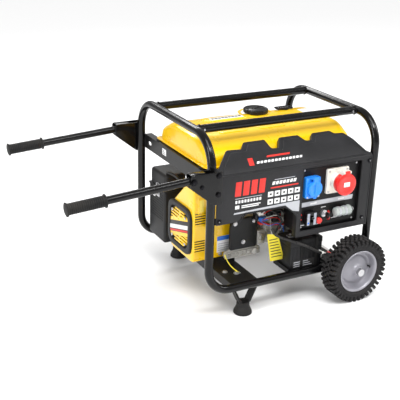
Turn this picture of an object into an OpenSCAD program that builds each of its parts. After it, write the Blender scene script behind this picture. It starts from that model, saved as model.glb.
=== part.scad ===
// Open-frame petrol generator on two wheels, with two fold-down lifting handles.
// X runs along the crankshaft (recoil starter at -X, alternator and wheels at +X), the control
// panel faces -Y and Z is up. The origin is on the ground, below the middle of the whole set with
// its handles open; lengths along X below are counted from the middle of the frame.

/* [Frame] */
// Distance between the centrelines of the left and right hoops
frame_l = 630; // [620:5:780]
// Distance between the centrelines of the front and rear tubes
frame_w = 532; // [520:4:660]
// Height of the top tube's centreline above the ground
frame_top = 635; // [625:5:720]
// Height of the bottom rail's centreline above the ground
rail_z = 114; // [108:1:124]
// Outside diameter of the frame tube
tube_d = 28; // [24:0.5:34]
// Wall of the frame tube
tube_wall = 2; // [1.5:0.5:3]
// Centreline radius of the hoop's top bends
top_bend = 100; // [80:5:125]
// Centreline radius of the bottom rail's bends
low_bend = 80; // [60:5:100]

/* [Wheels and feet] */
// Outside diameter of the tyre
wheel_d = 232; // [228:2:250]
// Width of the tyre
wheel_w = 68; // [56:2:84]
// Diameter of the rim's bead
rim_d = 142; // [120:2:160]
// Diameter of the wheel axle
axle_d = 16; // [12:1:20]
// Distance of the axle from the right hoop
axle_inset = 82; // [80:2:120]
// Height of a rubber foot
foot_h = 44; // [36:1:50]
// Diameter of a rubber foot at the ground
foot_d = 64; // [50:2:80]

/* [Handles] */
// Outside diameter of the handle tube
handle_d = 25; // [20:1:30]
// Wall of the handle tube
handle_wall = 2; // [1.5:0.5:3]
// Length of the handle from its pivot to the end of the grip
handle_reach = 397; // [300:5:460]
// Length of the rubber grip
grip_l = 122; // [100:2:140]
// Outside diameter of the rubber grip
grip_d = 34; // [32:1:40]
// Angle by which the open handle hangs below level
handle_droop = 4; // [0:1:8]
// Diameter of the handle's pivot bolt
pivot_d = 10; // [8:1:12]

/* [Tank] */
// Gap between the tank's body and the hoop's centreline at each end
tank_end_gap = 30; // [28:1:40]
// Width of the tank's body
tank_w = 360; // [300:10:380]
// Height of the tank's weld flange above the ground
seam_z = 512; // [500:2:530]
// Height of the tank above its weld flange
tank_rise = 78; // [60:2:90]
// Depth of the tank below its weld flange
tank_drop = 60; // [40:2:64]
// Sheet thickness of the tank
tank_wall = 1.5; // [1:0.25:2.5]
// Outside diameter of the filler neck
neck_d = 60; // [44:2:64]
// Diameter of the fuel cap
cap_d = 90; // [80:2:100]

/* [Cover and panel] */
// Thickness of the moulded cover and panel
cover_t = 3; // [2:0.5:4]
// Depth of the control panel behind the cover's face
recess = 15; // [10:1:25]
// Width of the panel's window in the cover
window_w = 236; // [230:2:244]
// Height of the panel's window in the cover
window_h = 222; // [216:2:228]
// Diameter of the red lid of the three-phase socket
cee_lid_d = 76; // [70:2:84]

/* [Engine and alternator] */
// Diameter of the crankshaft's main journals
crank_d = 34; // [25:1:40]
// Outside diameter of the cooling fan
fan_d = 156; // [140:2:160]
// Outside diameter of the alternator
alternator_d = 228; // [200:2:230]
// Length of the alternator's stator housing
alternator_l = 190; // [160:5:195]
// Diameter of the exhaust's tail pipe
tail_d = 30; // [24:1:36]
// Length of the battery
battery_l = 130; // [110:5:150]

/* [Clearances] */
// Radial clearance of a turning fit
run_fit = 0.05; // [0.02:0.01:0.1]
// Radial clearance of a bolt or pin in its hole
bolt_fit = 0.2; // [0.1:0.05:0.4]
// Gap left for the weld between two tubes
weld_gap = 0.02; // [0.01:0.01:0.1]
// Gap between faces that move past each other
side_gap = 0.5; // [0.4:0.1:1]

/* [Hidden] */
$fn = 40;
eps = 0.01;

// Frame
hoop_x = frame_l / 2;
side_y = frame_w / 2;
tube_r = tube_d / 2;
low_top = rail_z + low_bend;
rail_y = side_y - top_bend - tube_r;
bar_z = rail_z - 12;
bar_h = 28;
bar_t = 3;
mount_z = bar_z + bar_h;
// Tank bars
tank_bar_h = 50;
tank_bar_w = 26;
tank_bar_x = hoop_x - 9;
grommet_h = 4;
// Wheels
axle_x = hoop_x - axle_inset;
axle_z = wheel_d / 2;
wheel_y = side_y + tube_r + 3 + wheel_w / 2;
hub_l = 58;
axle_tip = wheel_y + hub_l / 2 + 12;
// Feet
foot_x = -hoop_x + 147;
foot_y = side_y - 20;
foot_top_d = foot_d * 0.68;
foot_plate = 3;
strap_w = 30;
strap_spread = 49;
// Handles
plate_t = 3;
handle_gap = handle_d + 1;
pivot_x = hoop_x + 84;
pivot_z = frame_top - 110;
handle_y = side_y + tube_r + plate_t + handle_gap / 2;
handle_stub = 12;
frame_bolt_z = [pivot_z - 51, pivot_z + 10];
frame_bolt_d = 8;
grip_flange_d = grip_d + 8;
left_end = pivot_x + handle_reach * cos(handle_droop) + grip_flange_d / 2 * sin(handle_droop);
mid_x = (left_end - axle_x - wheel_d / 2) / 2;
// Tank
tank_l = frame_l - 2 * tank_end_gap;
tank_top = seam_z + tank_wall + tank_rise;
flange_w = 10;
cap_x = 52;
cap_y = 88;
neck_top = tank_top + 8;
seal_t = 2;
gauge_x = 175;
gauge_y = 92;
tap_x = -hoop_x + 80;
tap_y = 60;
// Cover
cover_y = side_y + 11;
cover_x = hoop_x - tube_r - 1;
crease_z = seam_z + 1;
fairing_angle = 32;
fairing_l = 126;
fairing_x = cover_x - 0.5;
panel_y = cover_y - recess;
panel_x = 140;
panel_z = 387;
screw_spots = [[-cover_x + 10, crease_z - 21], [cover_x - 12, crease_z - 21],
  [-cover_x + 10, crease_z - 147], [cover_x - 22, crease_z - 227]];
// Sockets and switches: places on the panel as [x, z]
blue_at = [60, 428];
cee_at = [166, 436];
breaker_at = [62, 317];
button_at = [101, 301];
key_at = [122, 323];
capsule_at = [194, 326];
toggle_tilt = 20;
// Engine
eng_y = -25;
eng_z = 255;
shroud_x = -hoop_x + 19;
shroud_l = 124;
shroud_t = 2.5;
case_x = shroud_x + 146;
case_l = 105;
base_z = mount_z + 28;
ring_size = [170, 166];
grip_at = [shroud_x + 56, eng_z + 50];
alt_x = case_x + case_l + 20;
alt_end = alt_x + alternator_l;
foot_pad_x = case_x;
alt_foot_x = alt_end + 21;
cylinder_tilt = 25;
cleaner = [94, 133, 258];
cleaner_x = shroud_x - 2;
cleaner_wall = 2.5;
carb_x = shroud_x + 118;
muffler_x = alt_x + 10;
muffler_size = [210, 112, 130];
battery_x = alt_foot_x - 46 - battery_l;
battery_size = [battery_l, 85, 115];
battery_y = -side_y + tube_r + 2;
tray_z = rail_z - 2;

// Points of each lead, chosen by hand
hose_route = concat(
  [for (p = [[0, 0, -35], [0, 1, -44], [6, 10, -50]]) p + [tap_x, tap_y, seam_z - tank_drop]],
  [for (p = [[-36, 84, 149], [-20, 98, 159], [-10, 106, 159], [-8, 108, 144]])
    p + [carb_x, 0, eng_z]]);
loom_route = [for (p = [[-72, 34, 173], [-58, 20, 150], [-10, 4, 128], [50, 0, 100], [108, 0, 66],
  [158, 4, 46], [180, 14, 40]]) p + [battery_x, -side_y, tray_z]];
red_route = [for (p = [[108, 42, 126], [102, 44, 140], [50, 62, 150], [0, 70, 156], [-52, 74, 164],
  [-76, 80, 178]]) p + [battery_x, battery_y, tray_z]];
earth_route = [for (p = [[-40, -150, 48], [-46, -158, 34], [-44, -176, 16], [-30, -196, 6],
  [-16, -206, 3]]) p + [foot_pad_x, 0, mount_z]];

// ---------- Helpers ----------

// Straight tube along +Z
module pipe(length, d, wall) {
  linear_extrude(length) difference() {
    circle(d = d);
    circle(d = d - 2 * wall);
  }
}

// Quarter bend of a tube, from +X towards +Y, about the origin
module elbow(radius, d, wall) {
  rotate_extrude(angle = 90) translate([radius, 0]) difference() {
    circle(d = d);
    circle(d = d - 2 * wall);
  }
}

// Puts the whole set above the origin
module stand() translate([mid_x, 0, 0]) children();

module along_x() rotate([0, 90, 0]) children();
module along_y() rotate([-90, 0, 0]) children();

// Both sides of the generator, front and rear
module both_sides() {
  children();
  mirror([0, 1, 0]) children();
}

// Both ends of the generator, left and right
module both_ends() {
  children();
  mirror([1, 0, 0]) children();
}

// Plate in the XZ plane whose front face is at y, grown backwards by t
module front_plate(y, t) translate([0, -y + t, 0]) rotate([90, 0, 0]) linear_extrude(t) children();

// Prism of an outline in the YZ plane, from x to x + length
module side_prism(x, length) translate([x, 0, 0]) rotate([90, 0, 90]) linear_extrude(length) children();

module rounded_square(size, r) {
  translate([-size[0] / 2 + r, -size[1] / 2]) square([size[0] - 2 * r, size[1]]);
  translate([-size[0] / 2, -size[1] / 2 + r]) square([size[0], size[1] - 2 * r]);
  for (sx = [-1, 1], sy = [-1, 1])
    translate([sx * (size[0] / 2 - r), sy * (size[1] / 2 - r)]) circle(r);
}

// One arc of an outline, from angle a to angle b
function arc(cx, cy, r, a, b, n = 6) =
  [for (i = [0:n]) [cx + r * cos(a + (b - a) * i / n), cy + r * sin(a + (b - a) * i / n)]];

// Smooth curve through hand-chosen points
function catmull(a, b, c, d, t) =
  0.5 * ((2 * b) + (c - a) * t + (2 * a - 5 * b + 4 * c - d) * t * t
    + (3 * b - a - 3 * c + d) * t * t * t);
function route(p, n) = concat([for (i = [0:len(p) - 2], j = [0:n - 1])
  catmull(p[max(i - 1, 0)], p[i], p[i + 1], p[min(i + 2, len(p) - 1)], j / n)], [p[len(p) - 1]]);
function unit(v) = v / norm(v);
function heading(q, i) = unit(q[min(i + 1, len(q) - 1)] - q[max(i - 1, 0)]);
function ring_at(q, i, r, sides) =
  let (t = heading(q, i), u = unit(cross(t, [0.31, 0.87, 0.38])), v = cross(t, u))
  [for (k = [0:sides - 1]) q[i] + r * (cos(360 * k / sides) * u + sin(360 * k / sides) * v)];

// Round lead swept along a route
module lead(points, d, per_span = 5, sides = 8) {
  q = route(points, per_span);
  last = len(q) - 1;
  skin = [for (i = [0:last]) each ring_at(q, i, d / 2, sides)];
  polyhedron(skin, concat(
    [[for (k = [0:sides - 1]) k]],
    [for (i = [0:last - 1], k = [0:sides - 1])
      [i * sides + k, (i + 1) * sides + k, (i + 1) * sides + (k + 1) % sides,
        i * sides + (k + 1) % sides]],
    [[for (k = [sides - 1:-1:0]) last * sides + k]]));
}

// ---------- Frame ----------

module frame_bolt_holes() {
  for (z = frame_bolt_z)
    translate([0, -side_y - tube_r - 1, z]) along_y()
      cylinder(d = frame_bolt_d + 2 * bolt_fit, h = tube_wall * 3 + 1);
}

module cover_tab(x, z) {
  front_plate(cover_y - cover_t, 3) translate([x, z]) square([24, 22], center = true);
}

// One hoop in the YZ plane, standing on its two bottom rails
module hoop() {
  both_sides() {
    translate([0, side_y, low_top]) pipe(frame_top - top_bend - low_top, tube_d, tube_wall);
    translate([0, side_y - top_bend, frame_top - top_bend])
      rotate([90, 0, 90]) elbow(top_bend, tube_d, tube_wall);
  }
  translate([0, -(side_y - top_bend), frame_top]) along_y()
    pipe(2 * (side_y - top_bend), tube_d, tube_wall);
}

module frame_hoops() {
  stand() color("#151516") {
    difference() {
      union() {
        translate([-hoop_x, 0, 0]) hoop();
        for (i = [0, 2]) difference() {
          cover_tab((screw_spots[i][0] - cover_x) / 2 - 3, screw_spots[i][1]);
          translate([-hoop_x, -side_y, 0]) cylinder(d = tube_d - tube_wall, h = frame_top);
        }
      }
      translate([-hoop_x, 0, 0]) both_sides() frame_bolt_holes();
      screw_holes();
    }
    difference() {
      union() {
        translate([hoop_x, 0, 0]) hoop();
        for (i = [1, 3]) difference() {
          front_plate(cover_y - cover_t, 3)
            translate([screw_spots[i][0] - 11, screw_spots[i][1] - 11])
              square([hoop_x - screw_spots[i][0] + 3, 22]);
          translate([hoop_x, -side_y, 0]) cylinder(d = tube_d - tube_wall, h = frame_top);
        }
      }
      screw_holes();
    }
  }
}

module screw_holes() {
  for (s = screw_spots)
    translate([s[0], -cover_y - 1, s[1]]) along_y() cylinder(d = 6 + 2 * bolt_fit, h = 10);
}

// Bottom rail with its two upturned ends; the axle passes through it
module bottom_rail() {
  difference() {
    union() {
      both_ends() translate([hoop_x - low_bend, 0, low_top]) rotate([-90, 0, 0])
        elbow(low_bend, tube_d, tube_wall);
      translate([-(hoop_x - low_bend), 0, rail_z]) along_x()
        pipe(2 * (hoop_x - low_bend), tube_d, tube_wall);
    }
    translate([axle_x, -tube_d, axle_z]) along_y()
      cylinder(d = axle_d + 2 * bolt_fit, h = 2 * tube_d);
  }
}

module bottom_rails() stand() color("#151516") both_sides() translate([0, side_y, 0]) bottom_rail();

// Solid outline of a hoop's top tube, for coping what is welded to it
module hoop_tops() {
  both_ends() translate([hoop_x, -side_y, frame_top]) along_y()
    cylinder(d = tube_d + 2 * weld_gap, h = frame_w);
}

module top_rails() stand() color("#151516") difference() {
  both_sides() translate([-hoop_x, rail_y, frame_top]) along_x() pipe(frame_l, tube_d, tube_wall);
  hoop_tops();
}

module rail_solids() {
  both_sides() translate([-hoop_x, side_y, rail_z]) along_x()
    cylinder(d = tube_d + 2 * weld_gap, h = frame_l);
}

// Pressed channel under the engine, open below
module hat_bar(x, width) {
  translate([x - width / 2, -side_y, bar_z]) difference() {
    cube([width, frame_w, bar_h]);
    translate([bar_t, -1, -1]) cube([width - 2 * bar_t, frame_w + 2, bar_h - bar_t + 1]);
  }
}

module mount_bolts(d, h) {
  for (x = [foot_pad_x, alt_foot_x], s = [-1, 1])
    translate([x, eng_y + s * pad_y(x), mount_z - h / 2]) cylinder(d = d, h = h);
}

function pad_y(x) = x < 0 ? 85 : 70;

module cross_bars() stand() color("#1b1b1c") difference() {
  union() {
    hat_bar(foot_pad_x - 30, 100);
    hat_bar(alt_foot_x, 60);
  }
  rail_solids();
  mount_bolts(8 + 2 * bolt_fit, 20);
}

// Channel across each hoop that carries the tank
module tank_bars() stand() color("#1b1b1c") difference() {
  both_ends() translate([tank_bar_x - tank_bar_w, -side_y + 11, seam_z - grommet_h - tank_bar_h])
    difference() {
      cube([tank_bar_w, frame_w - 22, tank_bar_h]);
      translate([-1, -1, bar_t]) cube([tank_bar_w - bar_t + 1, frame_w, tank_bar_h - 2 * bar_t]);
    }
  both_ends() both_sides() translate([hoop_x, side_y, 0])
    cylinder(d = tube_d + 2 * weld_gap, h = frame_top - top_bend);
  translate([-tank_bar_x - 1, side_y - 52, seam_z - grommet_h - tank_bar_h / 2]) along_x()
    linear_extrude(bar_t + 2) rounded_square([14, 26], 6.9);
}

// Engine mounts, and the pads between the tank's flange and its bars
module rubber_mounts() stand() color("#1a1a1a") {
  difference() {
    for (x = [foot_pad_x, alt_foot_x], s = [-1, 1])
      translate([x, eng_y + s * pad_y(x), mount_z]) {
        cylinder(d = 40, h = 10);
        translate([0, 0, 10]) cylinder(d = 32, h = base_z - mount_z - 18);
        translate([0, 0, base_z - mount_z - 8]) cylinder(d = 40, h = 8);
      }
    mount_bolts(8, 2 * (base_z - mount_z) + 2);
  }
  both_ends() both_sides() translate([tank_bar_x - 14, tank_w / 2 - 20, seam_z - grommet_h])
    cylinder(d = 24, h = grommet_h);
}

// ---------- Feet ----------

module strap_profile() {
  top = rail_z - tube_r + 6;
  low = foot_top_d / 2 - 4;
  for (s = [-1, 1]) polygon([[s * strap_spread, top], [s * (strap_spread - 6), top],
    [s * (low - 4), foot_h + foot_plate], [s * (low - 4), foot_h], [s * (low + 2), foot_h]]);
  translate([-low, foot_h]) square([2 * low, foot_plate]);
}

module foot_brackets() stand() color("#1b1b1c") difference() {
  both_sides() translate([foot_x, foot_y + strap_w / 2, 0]) rotate([90, 0, 0])
    linear_extrude(strap_w) strap_profile();
  rail_solids();
}

module rubber_feet() stand() color("#202021") both_sides() translate([foot_x, foot_y, 0])
  rotate_extrude() polygon([[0, 0], [foot_d / 2 - 3, 0], [foot_d / 2, 3], [foot_d / 2 - 1, 10],
    [foot_top_d / 2 + 1, 28], [foot_top_d / 2, foot_h], [0, foot_h]]);

// ---------- Wheels ----------

module axle() stand() color("#b9b9bc") translate([axle_x, -axle_tip, axle_z]) along_y()
  cylinder(d = axle_d, h = 2 * axle_tip);

// Push-on cap outside each wheel and a washer inside it
module axle_caps() stand() color("#d8d8da") both_sides() translate([axle_x, 0, axle_z]) {
  translate([0, wheel_y + hub_l / 2 + side_gap, 0]) along_y() difference() {
    cylinder(d = axle_d + 10, h = 15 - side_gap);
    translate([0, 0, -1]) cylinder(d = axle_d + eps, h = 13 - side_gap);
  }
  translate([0, side_y + tube_r + 0.2, 0]) along_y() difference() {
    cylinder(d = axle_d + 14, h = wheel_y - hub_l / 2 - side_y - tube_r - 0.2 - side_gap);
    translate([0, 0, -1]) cylinder(d = axle_d + eps, h = 20);
  }
}

// Tyre section, [distance from the axle, distance from the wheel's middle plane]
module tyre() rotate_extrude($fn = 72) {
  w = wheel_w / 2;
  r = wheel_d / 2;
  b = rim_d / 2;
  polygon([[b, -w + 9], [b + 6, -w + 3], [r - 20, -w + 1], [r - 8, -w], [r - 2, -w + 4],
    [r, -w + 14], [r, w - 14], [r - 2, w - 4], [r - 8, w], [r - 20, w - 1], [b + 6, w - 3],
    [b, w - 9]]);
}

// Two pressed halves of the rim, its disc and the hub tube
module rim() {
  w = wheel_w / 2 - 6;
  b = rim_d / 2;
  hub_r = axle_d / 2 + 6;
  rotate_extrude($fn = 72) {
    polygon([[b, -w], [b, w], [b - 2.5, w], [b - 2.5, -w]]);
    for (s = [-1, 1]) translate([b - 2.5, s * w - 1.5]) square([7.5, 3]);
    polygon([[hub_r - 1, -2], [36, -2], [46, -10], [b - 1, -10], [b - 1, -13], [45, -13], [35, -5],
      [hub_r - 1, -5]]);
    translate([axle_d / 2 + run_fit, -hub_l / 2])
      square([hub_r - axle_d / 2 - run_fit, hub_l]);
  }
}

module wheel_pose(s) translate([axle_x, s * wheel_y, axle_z]) rotate([90 * s, 0, 0]) children();

module tyre_only() difference() {
  tyre();
  rotate_extrude($fn = 72) {
    square([rim_d / 2 + eps, wheel_w / 2 - 4.5]);
    translate([0, -(wheel_w / 2 - 4.5)]) square([rim_d / 2 + eps, wheel_w / 2 - 4.4]);
    for (s = [-1, 1]) translate([0, s * (wheel_w / 2 - 6) - 1.6]) square([rim_d / 2 + 5.1, 3.2]);
  }
}

module front_tyre() stand() color("#2b2a2c") wheel_pose(-1) tyre_only();
module rear_tyre() stand() color("#2b2a2c") wheel_pose(1) tyre_only();
module front_rim() stand() color("#a7a6ad") wheel_pose(-1) rim();
module rear_rim() stand() color("#a7a6ad") wheel_pose(1) rim();

// ---------- Handles ----------

bracket_outline = [[-pivot_x - 11, pivot_z + 15], [-pivot_x - 6, pivot_z + 21],
  [-hoop_x + 14, pivot_z + 21], [-hoop_x + 14, pivot_z - 85], [-hoop_x - 14, pivot_z - 85],
  [-pivot_x - 11, pivot_z - 20]];
spacer_at = [-pivot_x + 27, pivot_z - 20];

module cross_pin(x, z, d, y, h) translate([x, y, z]) along_y() cylinder(d = d, h = h);

// Bracket of two gusset plates, bridged on top beside the pivot
module handle_bracket() {
  inner = side_y + tube_r + weld_gap;
  outer = handle_y + handle_gap / 2;
  difference() {
    union() {
      for (y = [inner, outer]) translate([0, y + plate_t - weld_gap, 0]) rotate([90, 0, 0])
        linear_extrude(plate_t - weld_gap) polygon(bracket_outline);
      translate([-pivot_x - 6, inner, pivot_z + 18])
        cube([50, outer + plate_t - weld_gap - inner, plate_t]);
    }
    cross_pin(-pivot_x, pivot_z, pivot_d + 2 * bolt_fit, inner - 1, handle_gap + 10);
    cross_pin(spacer_at[0], spacer_at[1], 6 + 2 * bolt_fit, inner - 1, handle_gap + 10);
    for (z = frame_bolt_z)
      cross_pin(-hoop_x, z, frame_bolt_d + 2 * bolt_fit, inner - 1, handle_gap + 10);
  }
}

module handle_brackets() stand() color("#161617") both_sides() handle_bracket();

// Pivot bolts, the spacer that keeps the plates apart, and the bolts into the frame
module handle_bolts() stand() color("#c4c4c8") both_sides() {
  outer = handle_y + handle_gap / 2 + plate_t;
  inner = side_y + tube_r;
  cross_pin(-pivot_x, pivot_z, pivot_d, inner - 6, outer - inner + 6.1);
  cross_pin(-pivot_x, pivot_z, 17, outer + eps, 6);
  cross_pin(-pivot_x, pivot_z, 16, inner - 7, 6.8);
  cross_pin(spacer_at[0], spacer_at[1], 6, inner - 2, outer - inner + 2.1);
  cross_pin(spacer_at[0], spacer_at[1], 10, outer + eps, 4);
  for (z = frame_bolt_z) {
    cross_pin(-hoop_x, z, frame_bolt_d, inner - 4, outer - inner + 4.1);
    cross_pin(-hoop_x, z, 14, outer + eps, 5);
  }
}

module on_pivot(s) translate([-pivot_x, s * handle_y, pivot_z]) rotate([0, -handle_droop, 0])
  children();

module handle_tube() difference() {
  translate([handle_stub, 0, 0]) rotate([0, -90, 0])
    pipe(handle_reach + handle_stub - 6, handle_d, handle_wall);
  translate([0, -handle_d, 0]) along_y() cylinder(d = pivot_d + 2 * run_fit, h = 2 * handle_d);
}

// Ribbed grip, closed at its end, with a flange at both ends
module grip() translate([-handle_reach, 0, 0]) along_x() difference() {
  union() {
    cylinder(d = grip_d, h = grip_l);
    for (h = [0, grip_l - 5]) translate([0, 0, h]) cylinder(d = grip_flange_d, h = 5);
  }
  translate([0, 0, 6]) cylinder(d = handle_d + eps, h = grip_l);
}

module front_handle() stand() color("#161617") on_pivot(-1) handle_tube();
module rear_handle() stand() color("#161617") on_pivot(1) handle_tube();
module front_grip() stand() color("#232324") on_pivot(-1) grip();
module rear_grip() stand() color("#232324") on_pivot(1) grip();

// ---------- Tank ----------

// Cross-section of the upper half, inset by g
function crown(g) = let (w = tank_w / 2 - g, h = tank_rise - g, r = 34) concat(
  [[-w, 0], [w, 0], [w, h - 46]], arc(w - r, h - 46, r, 0, 55), [[w - 66, h]],
  [[-w + 66, h]], arc(-w + r, h - 46, r, 125, 180));
// End view of the upper half along Y, inset by g
function crown_end(g) = let (w = tank_l / 2 - g, h = tank_rise - g, r = 30) concat(
  [[-w, 0], [w, 0]], arc(w - r, h - r, r, 0, 90), arc(-w + r, h - r, r, 90, 180));

module crown_solid(g) intersection() {
  side_prism(-tank_l / 2, tank_l) polygon(crown(g));
  translate([0, tank_w / 2, 0]) rotate([90, 0, 0]) linear_extrude(tank_w) polygon(crown_end(g));
}

module flange_plate(t) linear_extrude(t)
  rounded_square([tank_l + 2 * flange_w, tank_w + 2 * flange_w], 18);

module at_cap(z) translate([cap_x, cap_y, z]) children();

module tank_upper() stand() color("#f7cf1c") difference() {
  union() {
    translate([0, 0, seam_z + tank_wall]) crown_solid(0);
    translate([0, 0, seam_z + tank_wall]) flange_plate(tank_wall);
    at_cap(tank_top - 10) cylinder(d = neck_d, h = neck_top - tank_top + 10);
  }
  translate([0, 0, seam_z + tank_wall - eps]) crown_solid(tank_wall);
  at_cap(tank_top - 30) cylinder(d = neck_d - 8, h = 60);
  translate([gauge_x, gauge_y, tank_top - 30]) cylinder(d = 29, h = 60);
}

// Lower half: a tray with rounded corners and a drain spigot's hole
module tank_lower() stand() color("#f7cf1c") difference() {
  union() {
    translate([0, 0, seam_z - tank_drop]) linear_extrude(tank_drop + tank_wall)
      rounded_square([tank_l - 40, tank_w - 20], 24);
    translate([0, 0, seam_z]) flange_plate(tank_wall);
  }
  translate([0, 0, seam_z - tank_drop + tank_wall]) linear_extrude(tank_drop + 5)
    rounded_square([tank_l - 40 - 2 * tank_wall, tank_w - 20 - 2 * tank_wall], 22.5);
  translate([tap_x, tap_y, seam_z - tank_drop - 1]) cylinder(d = 12 + 2 * bolt_fit, h = 5);
}

module cap_seal() stand() color("#3c3c3c") at_cap(neck_top + eps) difference() {
  cylinder(d = neck_d, h = seal_t);
  translate([0, 0, -1]) cylinder(d = neck_d - 8, h = seal_t + 2);
}

module fuel_cap() stand() color("#17181c") at_cap(tank_top + 1.5) difference() {
  union() {
    cylinder(d = cap_d - 6, h = 16);
    for (a = [0:20:340]) rotate([0, 0, a]) translate([cap_d / 2 - 5, 0, 0])
      cylinder(d = 9, h = 14, $fn = 24);
  }
  translate([0, 0, -1]) cylinder(d = neck_d + 6, h = neck_top - tank_top + seal_t + 0.3);
}

module fuel_gauge() stand() color("#141416") translate([gauge_x, gauge_y, tank_top + eps]) {
  translate([-32, -14, 0]) cube([64, 30, 5]);
  translate([0, 0, -24]) cylinder(d = 28, h = 24.5);
}

module fuel_tap() stand() color("#8c8c8e") translate([tap_x, tap_y, 0]) {
  translate([0, 0, seam_z - tank_drop - 12]) cylinder(d = 20, h = 12 - eps);
  translate([0, 0, seam_z - tank_drop - 12]) cylinder(d = 12, h = 20);
  translate([0, 0, seam_z - tank_drop - 34]) cylinder(d = 8, h = 23);
  translate([0, -14, seam_z - tank_drop - 8]) along_y() cylinder(d = 10, h = 10);
}

module tap_lever() stand() color("#b02020") translate([tap_x, tap_y - 14 - side_gap, seam_z - tank_drop - 8])
  rotate([90, 0, 0]) {
    cylinder(d = 12, h = 5);
    translate([0, -4, 0]) cube([34, 8, 4]);
  }

module fuel_hose() stand() color("#1d1d1d") lead(hose_route, 9, 4);

// ---------- Front cover and control panel ----------

// Outline of the flat face, as [x, z]
function face_outline() = [[-cover_x, crease_z], [-cover_x, crease_z - 160],
  [-cover_x + 80, crease_z - 160], [-cover_x + 105, crease_z - 136], [-46, crease_z - 136],
  [4, crease_z - 176], [4, crease_z - 256], [cover_x, crease_z - 256], [cover_x, crease_z]];

// Stepped upper edge of the fairing, as [x, distance up the slope]
function fairing_outline() = [[-fairing_x, 0], [-fairing_x, 4], [-fairing_x + 18, 36],
  [-fairing_x + 75, 103], [-166, 100], [-150, fairing_l], [-70, fairing_l], [-62, 86], [-36, 84],
  [-14, fairing_l], [60, fairing_l], [78, 98], [100, 98], [117, fairing_l], [190, fairing_l],
  [202, 107], [fairing_x - 60, 108], [fairing_x - 40, 92], [fairing_x, 4], [fairing_x, 0]];

module front_cover() stand() color("#3a3a3c") difference() {
  union() {
    front_plate(cover_y, cover_t) polygon(face_outline());
    translate([0, -cover_y, crease_z]) rotate([fairing_angle, 0, 0]) translate([0, 0, -cover_t])
      linear_extrude(cover_t) polygon(fairing_outline());
    front_plate(cover_y, 24) {
      translate([4, crease_z - 256]) square([cover_x - 4, cover_t]);
      translate([4, crease_z - 256]) square([cover_t, 78]);
      translate([-cover_x + 80, crease_z - 139]) square([cover_x - 126, cover_t]);
    }
  }
  translate([panel_x - window_w / 2, -cover_y - 1, panel_z - window_h / 2])
    cube([window_w, cover_t + 2, window_h]);
  screw_holes();
}

module screw_heads() {
  for (s = screw_spots) translate([s[0], -cover_y, s[1]]) {
    rotate([90, 0, 0]) cylinder(d = 11, h = 4);
    along_y() cylinder(d = 6, h = 9);
  }
}

module cover_screws() stand() color("#c9c9cc") screw_heads();

// Box behind the window: its front is the panel, and its back is open
module control_panel() stand() color("#222224") {
  w = window_w + 14;
  h = window_h + 12;
  difference() {
    translate([panel_x - w / 2, -panel_y, panel_z - h / 2]) cube([w, 75, h]);
    translate([panel_x - w / 2 + cover_t, -panel_y + cover_t, panel_z - h / 2 + cover_t])
      cube([w - 2 * cover_t, 75, h - 2 * cover_t]);
    panel_hole(blue_at, 40);
    panel_hole(cee_at, 56);
    panel_hole(breaker_at, 30);
    panel_hole(button_at, 12);
    panel_hole(key_at, 18);
  }
  for (x = [-1, 1]) translate([panel_x + x * (w / 2 - 5.9) - 1, -cover_y + cover_t + weld_gap,
    panel_z - h / 2]) cube([2, recess - cover_t - weld_gap + eps, h]);
}

module panel_hole(at, d) translate([at[0], -panel_y - 1, at[1]]) along_y() cylinder(d = d, h = 6);

// Puts a piece on the panel: +Z of the piece points out of the panel
module on_panel(at, lift = 0) translate([at[0], -panel_y - eps - lift, at[1]])
  rotate([90, 0, 0]) children();

// Hinge of a socket's lid: its height above the socket's middle and its lift above the panel
blue_lid_t = 6;
cee_lid_t = 8;
blue_hinge = [38.5, 28 + side_gap + blue_lid_t / 2];
cee_hinge = [cee_lid_d / 2 + 5, 52 + side_gap + cee_lid_t / 2];
hinge_pin_d = 2.4;
knuckle_l = 20;

// Two ears on the socket, with the pin that the lid turns on
module lid_pin(at, reach) {
  for (s = [-1, 1]) translate([s * (knuckle_l / 2 + 2.5) - 1.9, at[0] - 4.5, at[1] - reach])
    cube([3.8, 8.5, reach + 3.5]);
  translate([-knuckle_l / 2 - 1, at[0], at[1]]) along_x() cylinder(d = hinge_pin_d, h = knuckle_l + 2);
}

module lid_knuckle(reach, t) {
  translate([-knuckle_l / 2, 0, 0]) cube([knuckle_l, reach, t]);
  translate([-knuckle_l / 2, reach, t / 2]) along_x() cylinder(d = t, h = knuckle_l);
}

module lid_bore(reach, t) translate([-knuckle_l / 2 - 1, reach, t / 2]) along_x()
  cylinder(d = hinge_pin_d + 2 * run_fit, h = knuckle_l + 2);

module blue_socket() stand() color("#2f86e0") difference() {
  on_panel(blue_at) {
    linear_extrude(20) rounded_square([56, 72], 6);
    cylinder(d = 50, h = 28);
    translate([-18, 33, 0]) cube([36, 5, 26]);
    translate([0, 0, -14]) cylinder(d = 39, h = 15);
    lid_pin(blue_hinge, 11);
  }
  on_panel(blue_at, 12) cylinder(d = 40, h = 20);
}

module blue_lid() stand() color("#4aa6f0") on_panel(blue_at, 28 + side_gap) {
  difference() {
    union() {
      cylinder(d = 54, h = blue_lid_t);
      lid_knuckle(blue_hinge[0], blue_lid_t);
    }
    lid_bore(blue_hinge[0], blue_lid_t);
  }
}

module cee_socket() stand() color("#e9e6df") difference() {
  on_panel(cee_at) {
    linear_extrude(8) rounded_square([88, 88], 5);
    cylinder(d = cee_lid_d - 10, h = 52);
    translate([-13, cee_lid_d / 2 - 8, 0]) cube([26, 12, 52]);
    translate([0, 0, -14]) cylinder(d = 55, h = 15);
    lid_pin(cee_hinge, 16);
  }
  on_panel(cee_at, 10) cylinder(d = cee_lid_d - 18, h = 60);
}

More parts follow.
